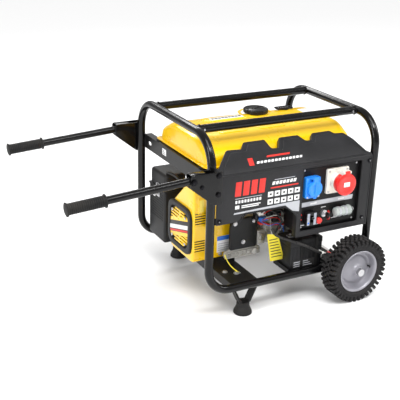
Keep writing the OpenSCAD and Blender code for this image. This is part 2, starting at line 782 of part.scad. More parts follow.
module cee_lid() stand() color("#e0281e") on_panel(cee_at, 52 + side_gap) {
  difference() {
    union() {
      cylinder(d = cee_lid_d, h = cee_lid_t);
      lid_knuckle(cee_hinge[0], cee_lid_t);
    }
    lid_bore(cee_hinge[0], cee_lid_t);
  }
}

module breaker() stand() color("#9fa3ad") difference() {
  on_panel(breaker_at) {
    linear_extrude(22) rounded_square([40, 46], 3);
    translate([0, 0, -20]) cylinder(d = 29, h = 21);
  }
  on_panel(breaker_at, 7) translate([-7, -12, 0]) cube([14, 24, 20]);
}

module breaker_toggle() stand() color("#202024") on_panel(breaker_at, 13) {
  rotate([0, 90, 0]) translate([0, 0, -6]) cylinder(d = 10, h = 12);
  rotate([-toggle_tilt, 0, 0]) translate([-5, -3, 0]) cube([10, 6, 20]);
}

module key_switch() stand() color("#c9c9cc") difference() {
  on_panel(key_at) {
    cylinder(d = 24, h = 8);
    translate([0, 0, -26]) cylinder(d = 17, h = 27);
  }
  on_panel(key_at, -2) cylinder(d = 12, h = 20);
}

module ignition_key() stand() color("#3a3a3e") on_panel(key_at, -1.5) {
  cylinder(d = 12 - 2 * run_fit, h = 11);
  translate([-1.5, -3, 10]) cube([3, 6, 10]);
  translate([-2, -11, 19]) cube([4, 22, 18]);
}

module reset_button() stand() color("#e0281e") on_panel(button_at, side_gap) {
  translate([0, 0, 4]) cylinder(d = 22, h = 10);
  translate([0, 0, -12]) cylinder(d = 11, h = 17);
}

// Clear round case clipped to the panel, with its cap and hanging loop
module panel_capsule() stand() color("#dfe6e4") on_panel(capsule_at) {
  translate([0, 0, 19]) {
    translate([-38, 0, 0]) along_x() cylinder(d = 32, h = 62);
    translate([24 - eps, 0, 0]) along_x() cylinder(d1 = 32, d2 = 20, h = 8);
  }
  translate([-26, -8, 0]) cube([44, 16, 5]);
}

// ---------- Engine ----------

module at_crank(x) translate([x, eng_y, eng_z]) children();

// Casting with the cylinder barrel and its fins, bored for the crankshaft
module crankcase() stand() color("#9b9a94") difference() {
  union() {
    translate([case_x, eng_y - 95, base_z + 12]) cube([case_l, 190, 120]);
    translate([foot_pad_x - 20, eng_y - 118, base_z]) cube([case_l + 20, 236, 14]);
    at_crank(case_x + case_l / 2) rotate([-cylinder_tilt, 0, 0]) {
      cylinder(d = 88, h = 130);
      for (h = [62:11:128]) translate([0, 0, h]) cylinder(d = case_l - 1, h = 4);
    }
  }
  at_crank(case_x - 1) along_x() cylinder(d = crank_d + 2 * run_fit, h = case_l + 2);
  at_crank(case_x + 22) along_x() cylinder(d = 124, h = case_l - 44);
  mount_bolts(8 + 2 * bolt_fit, 2 * (base_z - mount_z) + 60);
  translate([case_x + 34, eng_y - 96, base_z + 32]) along_y() cylinder(d = 16 + 2 * run_fit, h = 30);
}

// Local frame of the tilted cylinder's top face
module on_cylinder() at_crank(case_x + case_l / 2) rotate([-cylinder_tilt, 0, 0])
  translate([0, 0, 132 + eps]) children();

module cylinder_head() stand() color("#8f8f8b") on_cylinder() difference() {
  union() {
    for (h = [0:9:36]) translate([-58, -52, h]) cube([116, 104, 4]);
    translate([-44, -44, 0]) cube([88, 88, 40]);
    translate([0, 0, 38]) linear_extrude(18) rounded_square([92, 84], 14);
  }
  translate([0, 30, 18]) along_y() cylinder(d = 12 + 2 * bolt_fit, h = 40);
}

module spark_plug() stand() color("#e8e4da") on_cylinder() translate([0, 32, 18]) along_y() {
  cylinder(d = 12, h = 34);
  translate([0, 0, 20 + eps]) cylinder(d = 20, h = 8, $fn = 6);
  translate([0, 0, 28]) cylinder(d = 16, h = 34);
}

// Fan housing: outline in the YZ plane about the crank axis, inset by g
function shroud_outline(g) = [[-90 + g, -105 + g], [70 - g, -105 + g], [90 - g, -85 + g],
  [90 - g, 45 - g], [70 - g, 72 - g], [-36 - g, 170 - g], [-90 + g, 170 - g]];

module blower_shroud() stand() color("#f9d42a") at_crank(shroud_x) difference() {
  side_prism(0, shroud_l) polygon(shroud_outline(0));
  side_prism(shroud_t, shroud_l) polygon(shroud_outline(shroud_t));
  along_x() translate([0, 0, -1]) cylinder(d = 140, h = shroud_t + 2);
  for (z = [each [-70:8:-46], each [28:8:60]]) translate([22, -91, z]) cube([34, shroud_t + 2, 3.5]);
  translate([grip_at[0] - shroud_x, -95, grip_at[1] - eng_z]) along_y() cylinder(d = 14, h = 10);
}

// Recoil housing: dark rounded frame and ribbed grille
module recoil_cover() stand() color("#2a2a2c") at_crank(shroud_x) difference() {
  union() {
    side_prism(-10, 10 - weld_gap) rounded_square(ring_size, 42);
    side_prism(-weld_gap - eps, 24) circle(d = 136);
  }
  side_prism(-12, 8) rounded_square([ring_size[0] - 34, ring_size[1] - 34], 30);
  side_prism(0, 40) circle(d = 124);
  for (i = [-4:4]) translate([-20, -60, i * 13 - 2]) cube([40, 120, 4]);
}

module recoil_grip() stand() color("#1c1c1e") translate([grip_at[0], eng_y - 90 - side_gap, grip_at[1]])
  rotate([90, 0, 0]) {
    cylinder(d = 12, h = 16);
    translate([-13, -38, 10]) cube([26, 76, 16]);
  }

module flywheel_fan() stand() color("#6f7175") at_crank(shroud_x + 44) along_x() difference() {
  union() {
    cylinder(d = fan_d, h = 8);
    cylinder(d = 60, h = 40);
    for (a = [0:30:330]) rotate([0, 0, a]) translate([30, -2, -16])
      cube([fan_d / 2 - 36, 4, 17]);
  }
  translate([0, 0, -20]) cylinder(d = 24 + 2 * eps, h = 80);
}

// Crankshaft: journals, two webs and the crank pin, with a tapered-off output end
module crankshaft() stand() color("#8a8c90") at_crank(0) {
  translate([shroud_x + 38, 0, 0]) along_x() cylinder(d = 24, h = case_x - shroud_x - 38);
  translate([case_x, 0, 0]) along_x() cylinder(d = crank_d, h = 34);
  translate([case_x + case_l - 34, 0, 0]) along_x() cylinder(d = crank_d, h = 50);
  for (x = [case_x + 26, case_x + case_l - 38]) translate([x, 0, 0]) along_x() cylinder(d = 110, h = 12);
  translate([case_x + 30, 0, 32]) along_x() cylinder(d = 30, h = case_l - 60);
}

module rotor() stand() color("#7b4b2a") at_crank(case_x + case_l + 16) along_x() {
  cylinder(d = 28, h = alt_end - case_x - case_l - 6);
  translate([0, 0, 24]) cylinder(d = 140, h = alternator_l - 50);
}

// Stator housing, bolted to the crankcase through its bell
module alternator_case() stand() color("#b7b7b2") at_crank(0) difference() {
  union() {
    translate([alt_x, 0, 0]) along_x() cylinder(d = alternator_d, h = alternator_l, $fn = 72);
    translate([case_x + case_l + eps, 0, 0]) along_x() cylinder(d = alternator_d - 34, h = 20, $fn = 72);
  }
  translate([case_x + case_l - 1, 0, 0]) along_x() cylinder(d = 60, h = 40);
  translate([alt_x + 8, 0, 0]) along_x() cylinder(d = 143, h = alternator_l);
}

module end_bell() stand() color("#a9a9a4") at_crank(0) difference() {
  union() {
    translate([alt_end + eps, 0, 0]) along_x() cylinder(d = alternator_d - 6, h = 6, $fn = 72);
    translate([alt_end + eps, 0, 0]) along_x() cylinder(d = 70, h = 18);
    for (s = [-1, 1]) translate([alt_end + eps, s * pad_y(alt_foot_x) - 18, base_z - eng_z])
      cube([41, 36, 12]);
    for (s = [-1, 1]) translate([alt_end + eps, s * pad_y(alt_foot_x) - 18, base_z - eng_z])
      cube([4, 36, 50]);
  }
  translate([alt_end - 1, 0, 0]) along_x() cylinder(d = 28 + 2 * run_fit, h = 12);
  translate([0, -eng_y, -eng_z]) mount_bolts(8 + 2 * bolt_fit, 2 * (base_z - mount_z) + 60);
}

module starter_motor() stand() color("#2c2c2e") translate([case_x - 20, eng_y + 140, eng_z - 40]) {
  along_x() cylinder(d = 74, h = 120);
  translate([-24, 0, 0]) along_x() cylinder(d = 44, h = 25);
  translate([14, 0, 46]) along_x() cylinder(d = 30, h = 60);
  translate([10, -45 + eps, -12]) cube([60, 20, 24]);
}

module carburettor() stand() color("#b0b0ac") translate([carb_x, 100, 365]) {
  translate([cleaner_x + cleaner[0] - carb_x, 8, 16]) along_x() cylinder(d = 34, h = 48);
  translate([4, 8, -30]) cylinder(d = 36, h = 34);
}

// Air cleaner: tall moulded case beside the carburettor, with a narrower lid on top
module air_cleaner() stand() color("#3f4042")
  translate([cleaner_x, side_y - 28 - cleaner[1], mount_z + 4]) {
    low_h = cleaner[2] - 60;
    difference() {
      cube([cleaner[0], cleaner[1], low_h]);
      translate([cleaner_wall, cleaner_wall, cleaner_wall])
        cube([cleaner[0] - 2 * cleaner_wall, cleaner[1] - 2 * cleaner_wall, low_h - 2 * cleaner_wall]);
    }
    difference() {
      translate([6, 5, low_h + eps]) cube([cleaner[0] - 12, cleaner[1] - 12, 60]);
      translate([6 + cleaner_wall, 5 + cleaner_wall, low_h - 1])
        cube([cleaner[0] - 12 - 2 * cleaner_wall, cleaner[1] - 12 - 2 * cleaner_wall, 59]);
    }
  }

// Silencer box with its inlet and tail pipes
module muffler() stand() color("#4b4b4d") difference() {
  sheet = 1.5;
  mid = [muffler_x + muffler_size[0] / 2, side_y - 34 - muffler_size[1] / 2, 305];
  tail_x = muffler_x + muffler_size[0] - 40;
  union() {
    translate(mid) linear_extrude(muffler_size[2])
      rounded_square([muffler_size[0], muffler_size[1]], 26);
    translate([tail_x, side_y - 36, 345]) along_y() cylinder(d = tail_d, h = 42);
    translate([case_x + case_l + 14, side_y - 120, 400]) along_x() cylinder(d = 30, h = 30);
  }
  translate(mid + [0, 0, sheet]) linear_extrude(muffler_size[2] - 2 * sheet)
    rounded_square([muffler_size[0] - 2 * sheet, muffler_size[1] - 2 * sheet], 26 - sheet);
  translate([tail_x, side_y - 40, 345]) along_y() cylinder(d = tail_d - 4, h = 60);
}

module dipstick() stand() color("#1e1e20") translate([case_x + 34, eng_y - 95 - eps, base_z + 32]) {
  rotate([90, 0, 0]) cylinder(d = 30, h = 12);
  rotate([90, 0, 0]) translate([-3, -13, 12 - eps]) cube([6, 26, 8]);
  along_y() cylinder(d = 16, h = 22);
}

// ---------- Battery ----------

module battery() stand() color("#3b3c40") translate([battery_x, battery_y, tray_z + 3 + eps]) {
  cube(battery_size);
  for (x = [22, battery_size[0] - 22]) translate([x, 42, battery_size[2] - eps]) cylinder(d = 12, h = 8);
}

module battery_tray() stand() color("#1b1b1c") difference() {
  union() {
    translate([battery_x - 6, -side_y, tray_z]) cube([battery_l + 12, 110, 3]);
    for (x = [battery_x - 6, battery_x + battery_l + 3])
      translate([x, -side_y + 14, tray_z]) cube([3, 96, 16]);
  }
  rail_solids();
}

module leads() {
  stand() color("#141415") lead(loom_route, 9, 5);
  stand() color("#a31616") lead(red_route, 6, 5);
  stand() color("#c8c332") lead(earth_route, 4, 5);
}

frame_hoops();
bottom_rails();
top_rails();
cross_bars();
tank_bars();
rubber_mounts();
foot_brackets();
rubber_feet();
axle();
axle_caps();
front_tyre();
front_rim();
rear_tyre();
rear_rim();
handle_brackets();
handle_bolts();
front_handle();
front_grip();
rear_handle();
rear_grip();
tank_upper();
tank_lower();
cap_seal();
fuel_cap();
fuel_gauge();
fuel_tap();
tap_lever();
fuel_hose();
front_cover();
control_panel();
cover_screws();
blue_socket();
blue_lid();
cee_socket();
cee_lid();
breaker();
breaker_toggle();
key_switch();
ignition_key();
reset_button();
panel_capsule();
crankcase();
cylinder_head();
blower_shroud();
recoil_cover();
recoil_grip();
flywheel_fan();
crankshaft();
rotor();
alternator_case();
end_bell();
starter_motor();
carburettor();
air_cleaner();
muffler();
spark_plug();
dipstick();
battery();
battery_tray();
leads();
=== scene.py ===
# %% [markdown]
# # A portable generator, finished in Blender
#
# The sizes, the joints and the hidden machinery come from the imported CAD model. This file loads that
# model as a fixed frame, gives each piece its finish, and rebuilds the pieces whose real surface has
# more shape than the CAD solid: pressed steel, moulded plastic, rubber tread. Every length is in
# millimetres from the middle of the tubular frame, and one function turns it into the model's metres.

# %% Load the frame
import math
import bmesh
import bpy
from mathutils import Matrix, Vector


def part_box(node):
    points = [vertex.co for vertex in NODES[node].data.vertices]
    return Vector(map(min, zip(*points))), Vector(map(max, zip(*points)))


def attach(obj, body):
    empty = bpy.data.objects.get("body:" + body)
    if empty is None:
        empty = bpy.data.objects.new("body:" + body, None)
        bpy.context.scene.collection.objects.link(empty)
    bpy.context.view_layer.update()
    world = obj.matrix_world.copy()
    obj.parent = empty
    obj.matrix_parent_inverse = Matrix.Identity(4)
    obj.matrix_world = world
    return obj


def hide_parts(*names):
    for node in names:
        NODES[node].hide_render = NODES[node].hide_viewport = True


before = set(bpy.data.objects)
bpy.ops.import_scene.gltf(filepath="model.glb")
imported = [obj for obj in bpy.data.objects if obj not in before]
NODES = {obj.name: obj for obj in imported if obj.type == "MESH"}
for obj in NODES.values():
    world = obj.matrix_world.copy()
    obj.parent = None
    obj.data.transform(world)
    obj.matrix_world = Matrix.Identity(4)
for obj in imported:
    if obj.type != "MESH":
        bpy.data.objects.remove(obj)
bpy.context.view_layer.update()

# %% [markdown]
# ## One origin for every piece
#
# The model's origin is below the middle of the whole set, handles included, but its makers measure
# from the middle of the tubular frame. The hoops' own box gives that middle, so nothing is guessed.

# %% Places
hoops_low, hoops_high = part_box("frame_hoops")
FRAME_MIDDLE = (hoops_low.x + hoops_high.x) / 2


def at(x, y, z):
    """A place in millimetres from the frame's middle, as a point in the model."""
    return Vector((x / 1000 + FRAME_MIDDLE, y / 1000, z / 1000))


# Turns a flat shape's own X, Y and outward Z into a direction of the generator.
FACING_FRONT = Matrix(((1, 0, 0), (0, 0, -1), (0, 1, 0))).to_4x4()
FACING_LEFT = Matrix(((0, 0, -1), (-1, 0, 0), (0, 1, 0))).to_4x4()
FACING_RIGHT = Matrix(((0, 0, 1), (1, 0, 0), (0, 1, 0))).to_4x4()
print("middle of the frame at x =", round(FRAME_MIDDLE, 4), "m")

# %% [markdown]
# ## Ways to make a mesh
#
# A pressing or a moulding has rounded edges, and light catches on them. Each helper returns a small
# bmesh in millimetres with those edges already in it: a bevelled block, a turned profile, a plate of
# any outline with holes, and a tube along a path. A Shape collects them and becomes one piece.

# %% Blocks and turned shapes
def block(low, high, r=1.5, steps=2):
    """A box with rounded edges."""
    bm = bmesh.new()
    bmesh.ops.create_cube(bm, size=1)
    size = [b - a for a, b in zip(low, high)]
    for v in bm.verts:
        v.co = [a + (c + 0.5) * s for a, c, s in zip(low, v.co, size)]
    r = min(r, min(size) * 0.45)
    if r > 0:
        bmesh.ops.bevel(bm, geom=bm.edges[:], offset=r, segments=steps, profile=0.5, affect="EDGES")
    return bm


def angles(n):
    """A full turn in n equal steps."""
    return [2 * math.pi * k / n for k in range(n)]


def turned(profile, steps=48, closed=False):
    """A profile of (radius, height) turned about +Z. A closed profile makes a ring."""
    bm = bmesh.new()
    rings = []
    for r, h in profile:
        if r < 1e-6:
            rings.append([bm.verts.new((0, 0, h))])
        else:
            rings.append(
                [bm.verts.new((r * math.cos(a), r * math.sin(a), h)) for a in angles(steps)])
    pairs = list(zip(rings, rings[1:])) + ([(rings[-1], rings[0])] if closed else [])
    for a, b in pairs:
        for k in range(steps):
            n = (k + 1) % steps
            if len(a) == 1 and len(b) == 1:
                continue
            if len(a) == 1:
                bm.faces.new((a[0], b[n], b[k]))
            elif len(b) == 1:
                bm.faces.new((a[k], a[n], b[0]))
            else:
                bm.faces.new((a[k], a[n], b[n], b[k]))
    if not closed:
        for ring in (rings[0], rings[-1]):
            if len(ring) > 1:
                bm.faces.new(ring)
    bmesh.ops.recalc_face_normals(bm, faces=bm.faces[:])
    return bm


def rod(r, low, high, steps):
    """A plain round bar from one height to another."""
    return turned([(0, low), (r, low), (r, high), (0, high)], steps)


def sleeve(bore, r, low, high, steps):
    """A plain round tube from one height to another."""
    return turned([(bore, low), (r, low), (r, high), (bore, high)], steps, closed=True)


# %% Plates
def soften(points, r, steps=4):
    """The outline with each corner rounded. r is one radius, or one for each corner."""
    out = []
    n = len(points)
    for i, p in enumerate(points):
        b = Vector(p)
        a, c = Vector(points[i - 1]), Vector(points[(i + 1) % n])
        want = r[i] if isinstance(r, (list, tuple)) else r
        k = min(want, (a - b).length * 0.45, (c - b).length * 0.45)
        if k < 0.05:
            out.append(b)
            continue
        start, end = b + (a - b).normalized() * k, b + (c - b).normalized() * k
        for j in range(steps + 1):
            t = j / steps
            out.append(start.lerp(b, t).lerp(b.lerp(end, t), t))
    return out


def inset(points, r):
    """The outline moved inwards by r. Points run anticlockwise."""
    out = []
    n = len(points)
    for i in range(n):
        a, b, c = (Vector(points[(i + k) % n]) for k in (-1, 0, 1))
        u, v = (b - a).normalized(), (c - b).normalized()
        m = Vector((-u.y - v.y, u.x + v.x))
        out.append(b + m * (r / max(0.4, 1 + u.dot(v))))
    return out


def rectangle(x0, y0, x1, y1, r=0, steps=4):
    corners = [(x0, y0), (x1, y0), (x1, y1), (x0, y1)]
    return soften(corners, r, steps) if r else [Vector(p) for p in corners]


def circle(r, n, x=0, y=0):
    """The corners of a round outline."""
    return [(x + r * math.cos(a), y + r * math.sin(a)) for a in angles(n)]


def area_of(points):
    return sum(a[0] * b[1] - b[0] * a[1] for a, b in zip(points, list(points[1:]) + [points[0]])) / 2


def plate(outline, t, r=1.0, holes=(), steps=3):
    """A plate with its front at Z = 0 and its back at -t; the front's edges are rounded."""
    bm = bmesh.new()
    front, back = [], []
    for k, loop in enumerate([outline, *holes]):
        loop = [Vector(p) for p in loop]
        if area_of(loop) < 0:
            loop.reverse()
        sign = 1 if k == 0 else -1
        turns = [math.pi / 2 * j / steps for j in range(steps + 1)]
        edge = [(r * (1 - math.cos(a)), -r * (1 - math.sin(a))) for a in turns] if r else [(0, 0)]
        made = [
            [bm.verts.new((p.x, p.y, z)) for p in inset(loop, sign * d)] for d, z in [(0, -t)] + edge]
        n = len(loop)
        for a, b in zip(made, made[1:]):
            for i in range(n):
                q = (a[i], a[(i + 1) % n], b[(i + 1) % n], b[i])
                bm.faces.new(q if sign > 0 else q[::-1])
        front.append(made[-1])
        back.append(made[0])
    for loops, up in ((front, 1), (back, -1)):
        edges = [bm.edges.get((l[i], l[(i + 1) % len(l)])) for l in loops for i in range(len(l))]
        bmesh.ops.triangle_fill(bm, use_beauty=True, use_dissolve=False, edges=edges, normal=(0, 0, up))
    bmesh.ops.recalc_face_normals(bm, faces=bm.faces[:])
    return bm


# %% Tubes along a path
def curve(points, n=6):
    """A smooth path through given points."""
    p = [Vector(q) for q in points]
    out = []
    for i in range(len(p) - 1):
        a, b, c, d = p[max(i - 1, 0)], p[i], p[i + 1], p[min(i + 2, len(p) - 1)]
        for j in range(n):
            t = j / n
            line = 2 * b + (c - a) * t
            bend = 2 * a - 5 * b + 4 * c - d
            twist = 3 * b - a - 3 * c + d
            out.append(0.5 * (line + bend * t * t + twist * t ** 3))
    return out + [p[-1]]


def tube(path, r, sides=10):
    """A round rod along a path, closed at both ends."""
    bm = bmesh.new()
    path = [Vector(p) for p in path]
    side = None
    rings = []
    for i, p in enumerate(path):
        along = (path[min(i + 1, len(path) - 1)] - path[max(i - 1, 0)]).normalized()
        if side is None:
            side = along.orthogonal().normalized()
        side = (side - along * side.dot(along)).normalized()
        other = along.cross(side)
        spokes = [side * math.cos(a) + other * math.sin(a) for a in angles(sides)]
        rings.append([bm.verts.new(p + spoke * r) for spoke in spokes])
    for a, b in zip(rings, rings[1:]):
        for k in range(sides):
            bm.faces.new((a[k], a[(k + 1) % sides], b[(k + 1) % sides], b[k]))
    bm.faces.new(rings[0])
    bm.faces.new(rings[-1])
    bmesh.ops.recalc_face_normals(bm, faces=bm.faces[:])
    return bm


# %% Collecting parts into one piece
class Shape:
    """Solids in millimetres that become one mesh object, with a usual finish and place."""

    def __init__(self, usual=None, home=Matrix.Identity(4)):
        self.bm = bmesh.new()
        self.finishes = []
        self.usual, self.home = usual, home

    def add(self, part, finish=None, where=None):
        finish = finish or self.usual
        if finish not in self.finishes:
            self.finishes.append(finish)
        for f in part.faces:
            f.material_index = self.finishes.index(finish)
            f.smooth = True
        part.transform(self.home if where is None else where)
        mesh = bpy.data.meshes.new("part")
        part.to_mesh(mesh)
        part.free()
        self.bm.from_mesh(mesh)
        bpy.data.meshes.remove(mesh)
        return self

    def row(self, count, step, low, high, r, finish=None):
        """The same block again and again, each a step from the one before."""
        for k in range(count):
            corners = [[c + k * s for c, s in zip(corner, step)] for corner in (low, high)]
            self.add(block(*corners, r), finish)

    def grow(self, tree, finish=None, where=None, bevel=0.0, **values):
        """Adds what a node tree sets out, its blocks' edges rounded by bevel."""
        return self.add(grown(tree, finish or self.usual, bevel, values), finish, where)

    def finish(self, name, body, slot, replaces=(), sharp=35):
        """Makes the object, in metres, riding on its body."""
        for v in self.bm.verts:
            v.co = at(*v.co)
        mesh = bpy.data.meshes.new(name)
        self.bm.to_mesh(mesh)
        self.bm.free()
        for material in self.finishes:
            mesh.materials.append(material)
        mesh.set_sharp_from_angle(angle=math.radians(sharp))
        piece = bpy.data.objects.new(name, mesh)
        bpy.context.scene.collection.objects.link(piece)
        return settle(piece, body, replaces)


def settle(piece, body, replaces=()):
    """Hands a finished piece to the frame: its body and what it stands for."""
    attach(piece, body)
    if replaces:
        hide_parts(*replaces)
    print(f"{piece.name}: {len(piece.data.polygons)} faces on {body}")
    return piece


def move(x, y, z, turn=None):
    """Placed at a point, after an optional turn."""
    m = Matrix.Translation((x, y, z))
    return m @ turn if turn is not None else m


def spin(degrees, axis):
    return Matrix.Rotation(math.radians(degrees), 4, axis)

# %% [markdown]
# ## Camera, floor and light
#
# The set stands on a plain pale floor in soft studio light. A wide soft sun keeps the floor nearly
# white, a dim sky leaves the black parts black, and four lamps draw long highlights on the tubes.

# %% Camera
look = Vector((0.439, 0.821, -0.365)).normalized()
right = look.cross(Vector((0, 0, 1))).normalized()
up = right.cross(look)
roll = math.radians(1.5)
cam_x = right * math.cos(roll) + up * math.sin(roll)
cam_y = up * math.cos(roll) - right * math.sin(roll)
camera_data = bpy.data.cameras.new("camera")
camera_data.lens = 73.5
camera_data.sensor_width = 36
camera_data.clip_end = 60
camera = bpy.data.objects.new("camera", camera_data)
spot = at(-1456, -2328, 1363)
camera.matrix_world = Matrix(
    (
        (cam_x.x, cam_y.x, -look.x, spot.x), (cam_x.y, cam_y.y, -look.y, spot.y),
        (cam_x.z, cam_y.z, -look.z, spot.z), (0, 0, 0, 1)))
bpy.context.scene.collection.objects.link(camera)
bpy.context.scene.camera = camera
print("camera at", [round(c, 2) for c in spot])


# %% Lamps and sky
def lamp(name, place, aim, size, power):
    data = bpy.data.lights.new(name, "AREA")
    data.shape = "RECTANGLE"
    data.size, data.size_y = size
    data.energy = power
    light = bpy.data.objects.new(name, data)
    light.location = place
    light.rotation_mode = "QUATERNION"
    light.rotation_quaternion = (Vector(aim) - Vector(place)).to_track_quat("-Z", "Y")
    bpy.context.scene.collection.objects.link(light)


lamp("key_light", (0.2, -2.6, 3.6), (0.2, 0, 0.3), (2.6, 0.5), 75)
lamp("left_light", (-3.4, -1.2, 1.8), (0, 0, 0.4), (0.4, 2.4), 60)
lamp("right_light", (3.6, -1.6, 2.4), (0.3, 0, 0.3), (0.4, 2.4), 45)
lamp("back_light", (0.4, 3.2, 2.8), (0.2, 0, 0.4), (3.0, 0.4), 55)
sun_data = bpy.data.lights.new("soft_sun", "SUN")
sun_data.energy = 1.9
sun_data.angle = math.radians(38)
sun = bpy.data.objects.new("soft_sun", sun_data)
sun.rotation_mode = "QUATERNION"
sun.rotation_quaternion = Vector((0.22, 0.42, -1)).to_track_quat("-Z", "Y")
bpy.context.scene.collection.objects.link(sun)
sky = bpy.data.worlds.new("sky")
sky.use_nodes = True
sky.node_tree.nodes["Background"].inputs["Color"].default_value = (1, 1, 1, 1)
sky.node_tree.nodes["Background"].inputs["Strength"].default_value = 0.50
bpy.context.scene.world = sky

# %% [markdown]
# ## Effects that several finishes share
#
# Two node groups are built once. Fine grain is the small relief of a moulded or cast skin, as a
# normal. Handling varies a colour and a roughness a little, and lays a film of dust on faces that
# look up.

# %% Node group helpers
def new_group(name, ins, outs):
    group = bpy.data.node_groups.new(name, "ShaderNodeTree")
    for label, kind, value in ins:
        s = group.interface.new_socket(label, in_out="INPUT", socket_type="NodeSocket" + kind)
        s.default_value = value
    for label, kind in outs:
        group.interface.new_socket(label, in_out="OUTPUT", socket_type="NodeSocket" + kind)
    return group, group.nodes.new("NodeGroupInput"), group.nodes.new("NodeGroupOutput")


def node(tree, kind, links=(), **values):
    """Adds a node, sets its properties, then feeds its inputs from sockets or values."""
    n = tree.nodes.new(kind)
    for key, value in values.items():
        setattr(n, key, value)
    for key, source in dict(links).items():
        if isinstance(source, bpy.types.NodeSocket):
            tree.links.new(source, n.inputs[key])
        else:
            n.inputs[key].default_value = source
    return n


def rgb(code):
    """An sRGB colour such as 'f7d21e' in the linear values that a shader uses."""
    def linear(c):
        return c / 12.92 if c <= 0.04045 else ((c + 0.055) / 1.055) ** 2.4
    return tuple(linear(int(code[i:i + 2], 16) / 255) for i in (0, 2, 4)) + (1.0,)


# %% The two groups
FINE_GRAIN, gin, gout = new_group(
    "fine_grain",
    [
        ("Scale", "Float", 600.0), ("Depth", "Float", 0.00008), ("Waves", "Float", 12.0),
        ("Wave Depth", "Float", 0.0)], [("Normal", "Vector")])
coords = node(FINE_GRAIN, "ShaderNodeTexCoord")
fine = node(
    FINE_GRAIN, "ShaderNodeTexNoise",
    {"Vector": coords.outputs["Object"], "Scale": gin.outputs["Scale"], "Detail": 3.0})
waves = node(
    FINE_GRAIN, "ShaderNodeTexNoise",
    {"Vector": coords.outputs["Object"], "Scale": gin.outputs["Waves"], "Detail": 1.0})
coarse_bump = node(
    FINE_GRAIN, "ShaderNodeBump",
    {"Height": waves.outputs["Fac"], "Distance": gin.outputs["Wave Depth"], "Strength": 1.0})
fine_bump = node(
    FINE_GRAIN, "ShaderNodeBump",
    {
        "Height": fine.outputs["Fac"], "Distance": gin.outputs["Depth"], "Strength": 1.0,
        "Normal": coarse_bump.outputs["Normal"]})
FINE_GRAIN.links.new(fine_bump.outputs["Normal"], gout.inputs["Normal"])

HANDLING, gin, gout = new_group(
    "handling",
    [
        ("Color", "Color", (0.5, 0.5, 0.5, 1)), ("Dust Color", "Color", (0.32, 0.30, 0.27, 1)),
        ("Dust", "Float", 0.1), ("Scale", "Float", 9.0), ("Roughness", "Float", 0.4),
        ("Spread", "Float", 0.1)], [("Color", "Color"), ("Roughness", "Float")])
coords = node(HANDLING, "ShaderNodeTexCoord")
blotches = node(
    HANDLING, "ShaderNodeTexNoise",
    {
        "Vector": coords.outputs["Object"], "Scale": gin.outputs["Scale"], "Detail": 5.0,
        "Roughness": 0.62})
normal = node(HANDLING, "ShaderNodeNewGeometry")
split = node(HANDLING, "ShaderNodeSeparateXYZ", {0: normal.outputs["Normal"]})
looks_up = node(
    HANDLING, "ShaderNodeMapRange",
    {"Value": split.outputs["Z"], "From Min": -0.2, "From Max": 1.0, "To Min": 0.25, "To Max": 1.0})
patches = node(
    HANDLING, "ShaderNodeMapRange",
    {
        "Value": blotches.outputs["Fac"], "From Min": 0.42, "From Max": 0.72, "To Min": 0.0,
        "To Max": 1.0})
film = node(
    HANDLING, "ShaderNodeMath", {0: patches.outputs["Result"], 1: looks_up.outputs["Result"]},
    operation="MULTIPLY")
amount = node(
    HANDLING, "ShaderNodeMath", {0: film.outputs[0], 1: gin.outputs["Dust"]}, operation="MULTIPLY")
mixed = node(HANDLING, "ShaderNodeMix", {"Factor": amount.outputs[0]}, data_type="RGBA")
HANDLING.links.new(gin.outputs["Color"], mixed.inputs[6])
HANDLING.links.new(gin.outputs["Dust Color"], mixed.inputs[7])
HANDLING.links.new(mixed.outputs[2], gout.inputs["Color"])
varied = node(
    HANDLING, "ShaderNodeMath",
    {0: blotches.outputs["Fac"], 1: gin.outputs["Spread"], 2: gin.outputs["Roughness"]},
    operation="MULTIPLY_ADD")
HANDLING.links.new(varied.outputs[0], gout.inputs["Roughness"])
print("node groups:", [g.name for g in bpy.data.node_groups])

# %% [markdown]
# ## The finishes
#
# One function places the shared groups in a new material with that finish's own values. The Principled
# shader stays in the material, and what is even all over the surface is set on the shader itself.


# %% A finish from its values
def finish(name, colour, roughness=0.4, spread=0.1, metallic=0.0, coat=0.0, dust=0.1, dust_scale=9.0,
           grain=(600.0, 0.00008), waves=(12.0, 0.0), dust_colour="8f8678", shine=0.5):
    material = bpy.data.materials.new(name)
    material.use_nodes = True
    tree = material.node_tree
    shader = tree.nodes["Principled BSDF"]
    colour = rgb(colour)
    shader.inputs["Metallic"].default_value = metallic
    shader.inputs["Specular IOR Level"].default_value = shine
    shader.inputs["Coat Weight"].default_value = coat
    shader.inputs["Coat Roughness"].default_value = 0.06
    used = node(tree, "ShaderNodeGroup", node_tree=HANDLING)
    for key, value in (
            ("Color", colour), ("Dust Color", rgb(dust_colour)), ("Dust", dust), ("Scale", dust_scale),
            ("Roughness", roughness), ("Spread", spread)):
        used.inputs[key].default_value = value
    tree.links.new(used.outputs["Color"], shader.inputs["Base Color"])
    skin = node(tree, "ShaderNodeGroup", node_tree=FINE_GRAIN)
    skin.inputs["Scale"].default_value, skin.inputs["Depth"].default_value = grain
    skin.inputs["Waves"].default_value, skin.inputs["Wave Depth"].default_value = waves
    tree.links.new(used.outputs["Roughness"], shader.inputs["Roughness"])
    tree.links.new(skin.outputs["Normal"], shader.inputs["Normal"])
    material.diffuse_color = colour
    return material


